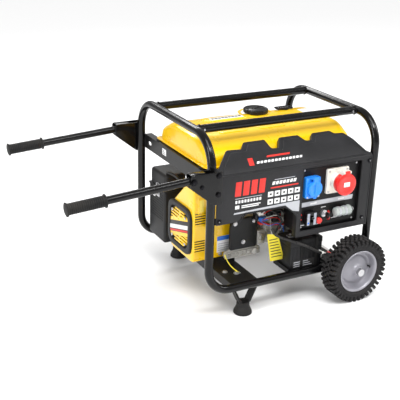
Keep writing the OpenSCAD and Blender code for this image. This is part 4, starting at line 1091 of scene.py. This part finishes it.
lid.grow(
    RING, red_plastic, on_panel(*CEE, 52.6), bevel=0.4, count=40, radius=37.4, height=3.2,
    block=(1.3, 2.4, 5))
knuckle(lid, red_plastic, on_panel(*CEE, 52.5), 43, 4)
lid.add(plate(rectangle(-12, -7, 12, 9, 1.5), 0.8, 0.3), white_print, on_panel(*CEE, 59.8))
for k in range(2):
    lid.add(
        plate(rectangle(-9, -4 + k * 6, 9, -1.8 + k * 6, 0.5), 0.5, 0.1), silver_print,
        on_panel(*CEE, 60.05))
lid.finish("three_phase_lid", "cee_lid", "red_plastic", ["cee_lid"])

# %% Breaker, its toggle and the key
breaker = Shape()
slot = rectangle(-6.8, -11.8, 6.8, 11.8, 1.2)
breaker.add(
    plate(rectangle(-20, -23, 20, 23, 3), 14.8, 1.4, [slot]), black_plastic, on_panel(*BREAKER, 21.8))
breaker.add(rod(14.2, 6.9, -19.5, 32), black_plastic, on_panel(*BREAKER))
for x in (-18, 8):
    label = plate(rectangle(x, -21, x + 10, 21, 1), 0.5, 0.1)
    breaker.add(label, grey_plastic, on_panel(*BREAKER, 22.1))
breaker.add(block((-16, -16, 0), (-10, -10, 0.6), 0.1), wire_blue, on_panel(*BREAKER, 22))
breaker.finish("breaker_body", "generator", "light_grey_plastic", ["breaker"])
toggle = Shape()
toggle.add(
    turned([(0, -6), (4.6, -6), (5, -5.4), (5, 5.4), (4.6, 6), (0, 6)], 28), black_plastic,
    on_panel(*BREAKER, 13) @ spin(90, "Y"))
toggle.add(
    block((-4.8, -2.8, 1), (4.8, 2.8, 19.6), 1.3), black_plastic,
    on_panel(*BREAKER, 13) @ spin(-20, "X"))
toggle.add(
    block((-3, -3.1, 15), (3, 3.1, 17), 0.5), white_print, on_panel(*BREAKER, 13) @ spin(-20, "X"))
toggle.finish("breaker_toggle_lever", "toggle", "black_plastic", ["breaker_toggle"])
key = Shape()
key.add(turned([(0, 0), (5.8, 0), (5.8, 9.4), (5.2, 10.8), (0, 10.8)], 28), zinc, on_panel(*KEY, -1.3))
key.add(block((-1.2, -3, 10), (1.2, 3, 20), 0.4), zinc, on_panel(*KEY, -1.4))
key.add(
    plate(
        soften([(-10.8, 0), (10.8, 0), (10.8, 15), (6, 17.8), (-6, 17.8), (-10.8, 15)], 4), 4, 1,
        [rectangle(-3, 10, 3, 15, 2)]), black_plastic,
    on_panel(*KEY, 17.5) @ spin(90, "Y") @ spin(90, "Z") @ move(0, 0, 2))
key.finish("start_key", "key", "black_plastic", ["ignition_key"])
button = Shape()
button.add(
    turned(
        [
            (0, 13.2), (7, 13.6), (9.6, 13.2), (11, 11.6), (11, 4.4), (10.4, 4), (5.4, 4), (5.4, -12),
            (0, -12)], 36), red_plastic, on_panel(*BUTTON, 0.5))
button.finish("reset_button_cap", "button", "red_plastic", ["reset_button"])

# %% Clear capsule
capsule = Shape()
clear = finish("clear_moulding", "dfe8e4", 0.12, 0.05, coat=0.3, dust=0.04)
clear.node_tree.nodes["Principled BSDF"].inputs["Transmission Weight"].default_value = 0.55
across = on_panel(*CAPSULE, 19) @ spin(90, "Y")
capsule.add(
    turned(
        [
            (0, -37), (13, -37), (15.4, -35.4), (16, -33), (16, 16), (17, 16.6), (17, 23.4), (15.6, 25),
            (10.6, 31.2), (9, 32), (0, 32)], 44), clear, across)
capsule.add(rod(11.6, -31, 13, 32), white_print, across)
capsule.grow(RING, clear, across, bevel=0.3, count=26, radius=17, height=20, block=(1.2, 2, 6))
for x in (-22, 2):
    capsule.add(
        turned([(16.2, x - 4), (17.4, x - 3.4), (17.4, x + 3.4), (16.2, x + 4)], 36, closed=True),
        silver_print, across)
capsule.add(block((-26, -8, 0), (18, 8, 4.8), 1.2), silver_print, on_panel(*CAPSULE))
ring_path = [
    (34 + 7 * math.cos(a), 7 * math.sin(a), 19) for a in (math.pi * 2 * k / 20 for k in range(21))]
capsule.add(tube(ring_path, 1.1, 8), zinc, on_panel(*CAPSULE))
for x in (-24, -6, 14):
    capsule.add(
        turned([(0, 0.6), (3, 0.6), (3, 0)], 16), zinc, on_panel(CAPSULE[0] + x, CAPSULE[1] - 24))
capsule.finish("clear_capsule", "generator", "clear_plastic", ["panel_capsule"])

# %% [markdown]
# ## Fan housing and recoil starter
#
# The housing is a deep-drawn yellow shell round the flywheel fan. Louvres stand out of its side, each
# with a near-black strip above it, painted shade for the gap. On its end sits a dark rounded ring that
# holds a yellow grille, in front of the starter's rope drum; a near-black plate and disc behind the
# grille are painted shade for the opening.

# %% Housing with its louvres
CRANK_Y, CRANK_Z = -25, 255
outline = [(-90, -105), (70, -105), (90, -85), (90, 45), (70, 72), (-36, 170), (-90, 170)]
mirrored = soften([(-y, z) for y, z in outline][::-1], [12, 26, 14, 14, 20, 20, 16])
housing_bm = plate(
    [(p[0] - CRANK_Y, p[1]) for p in mirrored], 124, 9, steps=5, holes=[circle(64, 48, 25)])
shell = Shape(yellow_enamel)
shell.add(housing_bm, where=move(-296, 0, CRANK_Z, FACING_LEFT))
# Above each louvre a near-black strip is painted shade for the gap behind it.
for z in (CRANK_Z + 31, CRANK_Z - 69):
    shell.row(5, (0, 0, 9), (-290, -116.6, z), (-249, -114, z + 5.2), 1.1)
    shell.row(5, (0, 0, 9), (-289, -115.7, z + 5), (-251, -113, z + 8.6), 0.2, painted_hollow_shade)
shell.add(block((-279, -117.2, 328), (-253, -112, 384), 3.5, 3))
shell.add(block((-275, -117.8, 334), (-257, -113, 378), 2), pale_yellow)
shell.add(block((-292, -116.8, 158), (-176, -113, 163), 2))
for y, z in ((-108, 405), (-108, 168)):
    shell.add(bolt(6), zinc, move(-190, -115, z, spin(90, "X")))
shell.add(block((-206, -116, 170), (-148.5, -114.6, 238), 0.4))
shell.add(block((-203, -116.3, 174), (-152, -115, 234), 0.3), white_print)
shell.row(4, (0, 0, 8), (-199, -116.6, 180), (-157, -115, 183.4), 0.1, silver_print)
shell.add(block((-203, -116.6, 218), (-152, -115, 234), 0.1), wire_blue)
side_skirt = soften([(-173, 152), (-164, 132), (-128, 150), (-132, 330), (-173, 388)], 8)
shell.add(plate(side_skirt, 3, 1.2), where=move(0, -112.5, 0, FACING_FRONT))
shell.finish("fan_housing", "generator", "shroud_yellow", ["blower_shroud"])

# %% Ring and grille
recoil = Shape()
ring_out = rectangle(-85, -83, 85, 83, 42, 10)
ring_in = rectangle(-66, -64, 66, 64, 30, 10)
recoil.add(
    plate(ring_out, 9.8, 4, [ring_in], 5), case_moulding, move(-306, CRANK_Y, CRANK_Z, FACING_LEFT))
# A near-black plate behind the grille bars is painted shade for the cover's inside.
recoil.add(
    plate(rectangle(-70, -68, 70, 68, 32, 8), 2, 0.4), painted_hollow_shade,
    move(-297.6, CRANK_Y, CRANK_Z, FACING_LEFT))
for k in range(11):
    z = -58 + k * 11.6
    reach = 63 if abs(z) < 36 else 63 - (abs(z) - 36) ** 1.6 / 5.2
    recoil.add(
        block(
            (-303.5, CRANK_Y - reach, CRANK_Z + z - 3.4), (-298, CRANK_Y + reach, CRANK_Z + z + 3.4),
            1.6), yellow_enamel)
recoil.add(
    block((-302.6, CRANK_Y - 4, CRANK_Z - 62), (-297.8, CRANK_Y + 4, CRANK_Z + 62), 1.5), yellow_enamel)
for low, high, ink, lift in (
        (-34, 34, yellow_enamel, 0), (-21, 21, dark_print, 0.9), (-9, 6, white_print, 1.5),
        (-19, -12, red_print, 1.5)):
    band = [(-66, low + 20), (-66, high + 20), (66, high - 20), (66, low - 20)]
    recoil.add(
        plate([(-p[0], p[1]) for p in band], 3, 0.5), ink,
        move(-303.6 - lift, CRANK_Y, CRANK_Z, FACING_LEFT))
for a in (45, 135, 225, 315):
    y, z = 73 * math.cos(math.radians(a)) * 1.1, 71 * math.sin(math.radians(a)) * 1.1
    recoil.add(
        turned([(0, 2.4), (3.4, 2.2), (5, 1.2), (5.2, 0)], 20), zinc,
        move(-306, CRANK_Y + y * 0.86, CRANK_Z + z * 0.86, FACING_LEFT))
# A near-black disc inside the housing's opening is painted shade.
recoil.add(
    turned([(50, 0), (50, 20), (0, 20), (0, 0)][::-1], 40), painted_hollow_shade,
    move(-296, CRANK_Y, CRANK_Z, spin(90, "Y")))
recoil.finish("recoil_grille", "generator", "grey_plastic", ["recoil_cover"])

# %% Recoil grip
pull = Shape()
pull.add(rod(5.8, 0, 12, 24), black_plastic, move(-240, -115.6, 305, spin(90, "X")))
pull.add(block((-252.6, -141, 268), (-227.4, -126, 342), 6.5, 4), rubber)
pull.grow(
    ROW, rubber, bevel=0.5, count=9, start=(-240, -140.6, 280), step=(0, 0, 6.2), block=(17, 1.6, 2.4))
pull.finish("recoil_grip_moulding", "recoil_grip", "rubber", ["recoil_grip"])

# %% [markdown]
# ## Air cleaner
#
# A tall two-part moulding. Ribs stiffen its lower half and a wire clip holds its lid, so the ribs
# come from the row tree and the clip is a bent wire.

# %% Air cleaner case
lo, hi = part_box("air_cleaner")
x0, x1 = (lo.x - FRAME_MIDDLE) * 1000, (hi.x - FRAME_MIDDLE) * 1000
y0, y1, z0, z1 = lo.y * 1000, hi.y * 1000, lo.z * 1000, hi.z * 1000
print("air cleaner", [round(v) for v in (x0, x1, y0, y1, z0, z1)])
cleaner = Shape(case_moulding)
cleaner.add(block((x0 + 1, y0, z0), (x1, y1, z1 - 60), 9, 4))
cleaner.add(block((x0 + 4, y0 + 4, z1 - 66), (x1 - 5, y1 - 6, z1), 12, 4))
cleaner.add(block((x0 - 0.5, y0 - 1, z1 - 66), (x1 + 0.5, y1 + 1, z1 - 58), 2.5))
cleaner.grow(
    ROW, bevel=0.8, count=11, start=(x0 + 0.6, (y0 + y1) / 2, z0 + 84), step=(0, 0, 9.5),
    block=(2.6, y1 - y0 - 26, 3.6))
cleaner.grow(
    ROW, bevel=0.8, count=8, start=((x0 + x1) / 2 - 34, (y0 + y1) / 2, z1 - 2), step=(9.5, 0, 0),
    block=(3.4, y1 - y0 - 40, 3.2))
clip = [
    (x0 - 1.5, y0 + 42, z1 - 84), (x0 - 2, y0 + 42, z1 - 50), (x0 + 1, y0 + 44, z1 - 44),
    (x0 + 1, y0 + 62, z1 - 44), (x0 - 2, y0 + 64, z1 - 50), (x0 - 1.5, y0 + 64, z1 - 84)]
cleaner.add(tube(curve(clip, 4), 1.5, 8), zinc)
cleaner.add(block((x0 - 1.6, y0 + 40, z1 - 92), (x0 + 4, y0 + 66, z1 - 84), 1.2), zinc)
cleaner.add(block((x0 - 1.4, y0 + 76, z1 - 100), (x0 + 2, y0 + 110, z1 - 74), 0.5), white_print)
for k in range(3):
    cleaner.add(
        block((x0 - 1.8, y0 + 80, z1 - 96 + 7 * k), (x0, y0 + 100 - 4 * k, z1 - 93 + 7 * k), 0.1),
        dark_print)
cleaner.add(
    tube(
        curve(
            [
                (x0 + 26, y0 + 30, z1 - 2), (x0 + 20, y0 + 6, z1 + 10), (x0 + 34, y0 - 30, z1 + 2),
                (x0 + 60, y0 - 56, z1 - 40)], 6), 5.5, 12), cable_sheath)
cleaner.finish("air_cleaner_case", "generator", "grey_plastic", ["air_cleaner"])

# %% [markdown]
# ## Engine front, wiring and tags
#
# Below the cover a mechanic sees the crankcase casting, a dark side plate, the oil alert's plugs and
# a loom that runs down to the battery. These are small fixed pieces, each a rounded block, a turned
# boss or a tube along given points.

# %% Side plate, bosses and base ribs
engine = Shape(cast_aluminium)
engine.add(
    plate(soften([(-168, 186), (-64, 186), (-62, 296), (-150, 300), (-169, 276)], 7), 10, 2.2),
    case_moulding, move(0, -146, 0, FACING_FRONT))
engine.add(block((-160, -138, 190), (-70, -120, 292), 3), case_moulding)
for x, z in ((-118, 212), (-152, 284), (-78, 284)):
    engine.add(bolt(6.2), zinc, move(x, -146.2, z, spin(90, "X")))
engine.add(
    plate(
        soften([(-186, 158), (-46, 158), (-46, 182), (-74, 190), (-150, 196), (-186, 180)], 5), 8, 1.8),
    where=move(0, -141, 0, FACING_FRONT))
engine.add(block((-184, -148, 176), (-48, -140, 180), 1.4))
engine.add(block((-184, -148, 158.2), (-48, -140, 162), 1.4))
engine.row(9, (16, 0, 0), (-180, -147, 160), (-177, -140, 178), 1.2)
engine.add(turned([(0, 9), (9, 9), (12, 7), (13, 0)], 32), where=move(-72, -146, 170, spin(90, "X")))
engine.add(block((-62, -150, 192), (-32, -126, 244), 3))
engine.add(block((-58, -156, 206), (-40, -148, 232), 2))
for z in (214, 226):
    engine.add(turned([(0, 5), (4.6, 4.6), (6, 0)], 24), zinc, move(-49, -156, z, spin(90, "X")))
engine.add(
    turned([(0, 26), (12, 25), (14, 20), (14, 2), (16, 0), (0, 0)], 32),
    where=move(-22, -128, 250, spin(90, "X")))
engine.finish("engine_front_castings", "generator", "cast_aluminium")

# %% Connectors and thin wires
loom = Shape()
for x, y, z, w, h, ink in (
        (-78, -166, 318, 26, 13, white_print), (-46, -170, 312, 22, 16, black_plastic),
        (-72, -168, 296, 30, 12, wire_blue), (-50, -172, 330, 24, 12, black_plastic),
        (-16, -166, 318, 26, 24, black_plastic), (-74, -170, 282, 20, 9, wire_red),
        (-20, -168, 288, 30, 22, battery_case), (-88, -160, 306, 14, 20, black_plastic)):
    loom.add(block((x, y - 9, z - h / 2), (x + w, y + 9, z + h / 2), 2.2), ink)
wires = (
    (wire_red, 1.6, (-60, -176, 316), (-40, -184, 330), (-10, -178, 326), (14, -166, 300),
     (4, -172, 262)),
    (wire_red, 1.5, (-66, -178, 296), (-36, -190, 304), (-8, -188, 296), (12, -176, 270),
     (8, -170, 246)),
    (wire_white, 1.4, (-56, -178, 300), (-20, -194, 312), (10, -190, 290), (22, -178, 262),
     (16, -168, 240)),
    (wire_blue, 1.4, (-74, -176, 292), (-50, -196, 280), (-16, -196, 282), (12, -186, 262),
     (26, -176, 236)),
    (cable_sheath, 3.2, (-70, -174, 322), (-44, -186, 342), (-12, -182, 338), (10, -170, 318),
     (18, -160, 290)),
    (cable_sheath, 3.6, (-40, -178, 330), (-20, -196, 318), (0, -198, 290), (-4, -186, 262),
     (-8, -176, 240)),
    (cable_sheath, 4.4, (-26, -176, 322), (0, -190, 326), (22, -186, 306), (30, -176, 276),
     (34, -168, 240)))
for ink, r, *points in wires:
    loom.add(tube(curve(points, 7), r, 8), ink)
loom.finish("plug_cluster", "generator", "cable")

# %% Hang tag
tag = Shape()
tag_line = soften([(-59, 252), (-40, 146), (17, 146), (-14, 243)], 4)
tag.add(plate(tag_line, 1.2, 0.4), card_yellow, move(0, -203, 0, FACING_FRONT))
for k in range(7):
    low = 160 + k * 11
    tag.add(block((-36 + k * -2.2, -203.5, low), (6 - k * 3.6, -202.8, low + 3), 0.1), dark_print)
tag.add(
    tube(curve([(-38, -203, 246), (-40, -196, 262), (-36, -184, 282), (-30, -176, 296)], 5), 1.0, 8),
    tie_white)
tag.finish("card_tag", "generator", "white_plastic")

# %% Battery
battery = Shape(battery_case)
lo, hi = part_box("battery")
bx0, bx1 = (lo.x - FRAME_MIDDLE) * 1000, (hi.x - FRAME_MIDDLE) * 1000
by0, by1, bz0 = lo.y * 1000, hi.y * 1000, lo.z * 1000
battery.add(block((bx0, by0, bz0), (bx1, by1, bz0 + 92), 3.5))
battery.add(block((bx0 - 0.8, by0 - 0.8, bz0 + 90), (bx1 + 0.8, by1 + 0.8, bz0 + 114), 4))
battery.row(
    8, ((bx1 - bx0 - 20) / 7, 0, 0), (bx0 + 8.4, by0 - 1.4, bz0 + 8), (bx0 + 11.6, by0 + 2, bz0 + 84),
    1)
battery.add(
    plate(rectangle(bx0 + 8, bz0 + 10, bx1 - 30, bz0 + 40, 3), 0.8, 0.3), cable_sheath,
    move(0, by0 - 1.8, 0, FACING_FRONT))
for k in range(3):
    battery.add(
        plate(rectangle(bx0 + 14, bz0 + 16 + 8 * k, bx1 - 40 - 8 * k, bz0 + 19 + 8 * k, 1), 0.5, 0.1),
        silver_print, move(0, by0 - 2.1, 0, FACING_FRONT))
for x, ink in ((bx0 + 22, dark_print), (bx1 - 22, red_plastic)):
    battery.add(block((x - 10, by0 + 32, bz0 + 113), (x + 10, by0 + 52, bz0 + 118), 1), zinc)
    battery.add(turned([(0, 9), (5.6, 8.6), (6, 0)], 24), zinc, move(x, by0 + 42, bz0 + 114.4))
    battery.add(
        turned([(9, 0), (9, 2.4), (6.4, 3), (6.4, 0)], 24, closed=True), ink,
        move(x, by0 + 42, bz0 + 118))
battery.finish("battery_case_moulded", "generator", "battery_case", ["battery"])

# %% Battery strap and tie
strap = Shape()
for x in (bx0 + 40, bx1 - 30):
    strap.add(block((x, by0 - 3, bz0 - 2), (x + 12, by0 - 1.6, bz0 + 118), 0.6), rubber)
    strap.add(block((x, by0 - 3, bz0 + 115.6), (x + 12, by1 + 3, bz0 + 117), 0.6), rubber)
tie = [
    (128, -244, 178), (132, -262, 176), (140, -270, 172), (146, -262, 168), (142, -250, 160),
    (140, -242, 128)]
strap.add(tube(curve(tie, 5), 1.6, 8), tie_white)
strap.add(block((128, -272, 170), (136, -264, 178), 1.4), tie_white)
strap.add(
    tube(
        curve(
            [(118, -240, 150), (128, -246, 138), (150, -242, 142), (168, -240, 150), (186, -238, 154)],
            5), 3, 8), cable_sheath)
strap.add(block((176, -248, 144), (190, -232, 156), 2), red_plastic)
strap.finish("battery_strap_and_tie", "generator", "rubber")

# %% [markdown]
# ## The rear: silencer, alternator and end bell
#
# The silencer is a folded box with pressed ribs and a perforated guard. The alternator's housing has
# cooling fins along it, and its end bell has ventilation slots round a bearing boss. The ring tree
# sets out the fins and the bell's spokes.

# %% Silencer and guard
silencer = Shape(exhaust_paint)
body_line = rectangle(-15, 120, 195, 232, 26, 8)
silencer.add(plate(body_line, 130, 5, steps=4), where=move(0, 0, 435))
for z in (338, 402):
    silencer.add(plate(inset(body_line, -1.8), 7, 2.4), where=move(0, 0, z))
silencer.add(
    turned([(13, -10), (13, 40), (15, 40), (15, -10)], 36, closed=True),
    where=move(155, 231.5, 345, spin(-90, "X")))
silencer.add(sleeve(15, 24, 0, 2.4, 36), zinc, move(155, 232, 345, spin(-90, "X")))
silencer.add(
    tube(curve([(-31, 150, 400), (-20, 150, 400), (-10, 156, 398), (4, 160, 396)], 4), 14.6, 20))
silencer.finish("silencer_box", "generator", "exhaust_steel", ["muffler"])
guard = Shape()
holes = [circle(4.6, 10, x, z) for x in range(2, 124, 15) for z in range(362, 423, 15)]
guard.add(
    plate(rectangle(-10, 350, 136, 432, 8), 1.4, 0.4, holes, 2), bar_enamel,
    move(0, 240, 0, FACING_FRONT))
for x in (-4, 128):
    for z in (356, 426):
        guard.add(bolt(4.4), zinc, move(x, 240, z, spin(-90, "X")))
        guard.add(rod(4, 0, 8, 16), zinc, move(x, 232, z, spin(-90, "X")))
guard.finish("silencer_guard", "generator", "frame_black")

# %% Alternator housing
alternator = Shape(cast_aluminium)
around = move(0, CRANK_Y, CRANK_Z, spin(90, "Y"))
alternator.add(
    turned(
        [
            (30, -45), (97, -45), (97, -26), (104, -25), (106, -21), (106, 36), (103, 38), (103, 128),
            (106, 130), (106, 160), (108, 165), (71.5, 165), (71.5, -17), (30, -17)], 96, closed=True),
    where=around)
alternator.grow(RING, where=around, bevel=0.8, count=40, radius=106, height=80, block=(7, 3, 92))
for radius, height in ((109, -12), (109, 36), (109, 126), (109, 156)):
    alternator.add(
        turned(
            [
                (105, height - 3), (113.4, height - 3), (113.9, height), (113.4, height + 3),
                (105, height + 3)], 96, closed=True), where=around)
alternator.finish("alternator_housing", "generator", "cast_aluminium", ["alternator_case"])

# %% End bell
bell = Shape(cast_aluminium)
side = move(171, CRANK_Y, CRANK_Z, FACING_RIGHT)
slots = [
    [
        (70 * math.cos(a + d) * s, 70 * math.sin(a + d) * s) for d,
        s in ((-0.12, 0.8), (0.12, 0.8), (0.10, 1.35), (-0.10, 1.35))]
    for a in (math.pi / 4 + math.pi * k / 6 for k in range(12))]
bell.add(plate(circle(111, 72), 5.9, 2, slots, 2), where=side)
bell.add(
    turned([(14.05, -5.8), (14.05, 4.8), (34, 11), (36, 0), (40, 0), (40, -5)], 48, closed=True),
    where=side)
bell.add(turned([(0, 12), (30, 12), (33, 10.6), (34.6, 7), (34.6, 5), (0, 5)], 48), where=side)
bell.grow(
    RING, where=side, bevel=0.8, count=12, radius=72, height=1.5, phase=math.pi / 12 + math.pi / 4,
    block=(66, 5, 6))
for k in range(4):
    a = math.radians(45 + 90 * k)
    bell.add(bolt(5.5), zinc, side @ move(103 * math.cos(a), 103 * math.sin(a), 0))
for s in (-1, 1):
    y = CRANK_Y + s * 70
    bell.add(block((165.2, y - 18, 158.1), (206, y + 18, 170), 3))
    bell.add(block((165.2, y - 18, 158.1), (171, y + 18, 208), 2.4))
    bell.add(bolt(7.5, 12), zinc, move(186, y, 170))
bell.finish("end_bell_casting", "generator", "cast_aluminium", ["end_bell"])

# %% [markdown]
# ## Welds and frame fastenings
#
# Where two tubes meet, a welder lays a bead of small overlapping drops. The ring tree sets them round
# each joint, and the bars get flanged bolts over the rubber mounts.

# %% Beads round the welded joints
welds = Shape()
for x in (-315, 315):
    for y in (-152, 152):
        s = -1 if x > 0 else 1
        welds.grow(
            RING, black_enamel, move(x, y, 635, spin(90 * s, "Y")), bevel=1.0, count=22, radius=14.4,
            height=13.4, block=(3.2, 4.4, 4.6))
        welds.add(
            turned([(0, 2.6), (2.4, 2.5), (4.2, 1.6), (4.6, 0)], 20), zinc,
            move(x + s * 26, y - 11.8 if y < 0 else y + 11.8, 635, spin(90 if y < 0 else -90, "X")))
welds.finish("weld_beads", "generator", "frame_black")

# %% Mount bolts on the engine bars
fasteners = Shape(zinc)
for x, y in ((-150, -110), (-150, 60)):
    fasteners.add(bolt(6.5, 10), where=move(x, y, 172))
for x, y, z in ((-205, -180, 130), (-175, -205, 130), (-205, 180, 130)):
    fasteners.add(bolt(6.5, 10), where=move(x, y, z))
earth = [(-190, -150, 178), (-188, -158, 165), (-183, -173, 150), (-176, -190, 140), (-167, -205, 133)]
fasteners.add(block((-172, -212, 130.2), (-160, -200, 132.4), 0.8))
fasteners.finish("mount_and_bar_bolts", "generator", "zinc")

# %% Label on the tank bar
labels = Shape()
labels.add(
    plate(rectangle(-108, 476, -78, 498, 2), 0.6, 0.2), white_print, move(-306.6, 0, 0, FACING_LEFT))
for k in range(3):
    labels.add(
        plate(rectangle(-104, 480 + 6 * k, -84 - 4 * k, 482 + 6 * k, 0.4), 0.5, 0.1), dark_print,
        move(-306.9, 0, 0, FACING_LEFT))
labels.finish("bar_label", "generator", "white_plastic")

# %% [markdown]
# ## Finishes on the CAD pieces that stay
#
# A CAD piece whose shape is already right keeps its mesh and gets its finish by name.

# %% Dress the CAD nodes
DRESS = {
    black_enamel: ["frame_hoops", "bottom_rails", "top_rails", "front_handle", "rear_handle"],
    bar_enamel: ["cross_bars", "tank_bars", "foot_brackets", "battery_tray"],
    rubber: ["rubber_mounts", "rubber_feet", "cap_seal"],
    zinc: ["axle", "axle_caps", "fuel_tap", "key_switch"],
    yellow_enamel: ["tank_lower"],
    red_plastic: ["tap_lever"],
    panel_moulding: ["control_panel"],
    cast_aluminium: ["crankcase", "cylinder_head", "carburettor"],
    cast_iron: ["flywheel_fan", "crankshaft"],
    copper_varnish: ["rotor"],
    black_plastic: ["dipstick", "starter_motor"],
    ceramic: ["spark_plug"],
    cable_sheath: ["fuel_hose"],
}
for material, names in DRESS.items():
    for name in names:
        NODES[name].data.materials.clear()
        NODES[name].data.materials.append(material)
print(sum(len(n) for n in DRESS.values()), "CAD pieces dressed")

# %% [markdown]
# ## Leads
#
# One CAD piece holds three leads of different colours, so three tubes stand for it along the same
# points. The loom is black, the starter's lead red and the earth lead yellow, as such leads are.

# %% Battery and earth leads
leads = Shape()
loom_route = [
    (-62, -232, 285), (-48, -246, 262), (0, -262, 240), (60, -266, 212), (118, -266, 178),
    (168, -262, 158), (190, -252, 152)]
red_route = [
    (118, -208, 238), (112, -206, 252), (60, -188, 262), (10, -180, 268), (-42, -176, 276),
    (-66, -170, 290)]
leads.add(tube(curve(loom_route, 7), 4.5, 14), cable_sheath)
leads.add(tube(curve(red_route, 7), 3, 12), wire_red)
leads.add(tube(curve(earth, 7), 1.7, 12), card_yellow)
for k in range(6):
    p = curve(loom_route, 7)[4 + k * 6]
    q = curve(loom_route, 7)[5 + k * 6]
    leads.add(tube([p, p + (q - p).normalized() * 5], 5.1, 14), black_plastic)
leads.finish("leads_in_sheaths", "generator", "cable", ["leads"])

# %% [markdown]
# ## Floor
#
# A wide pale floor that runs out of view, lit so that it stays almost white and takes a soft shadow.

# %% Floor
floor_mesh = bpy.data.meshes.new("floor")
floor_mesh.from_pydata([(-30, -30, 0), (30, -30, 0), (30, 30, 0), (-30, 30, 0)], [], [(0, 1, 2, 3)])
floor = bpy.data.objects.new("floor", floor_mesh)
floor_paint = bpy.data.materials.new("floor_paint")
floor_paint.use_nodes = True
floor_shader = floor_paint.node_tree.nodes["Principled BSDF"]
floor_shader.inputs["Base Color"].default_value = (0.92, 0.92, 0.92, 1)
floor_shader.inputs["Roughness"].default_value = 0.7
floor_mesh.materials.append(floor_paint)
bpy.context.scene.collection.objects.link(floor)
bpy.context.scene.view_settings.view_transform = "Standard"

# %% Update the view layer
bpy.context.view_layer.update()
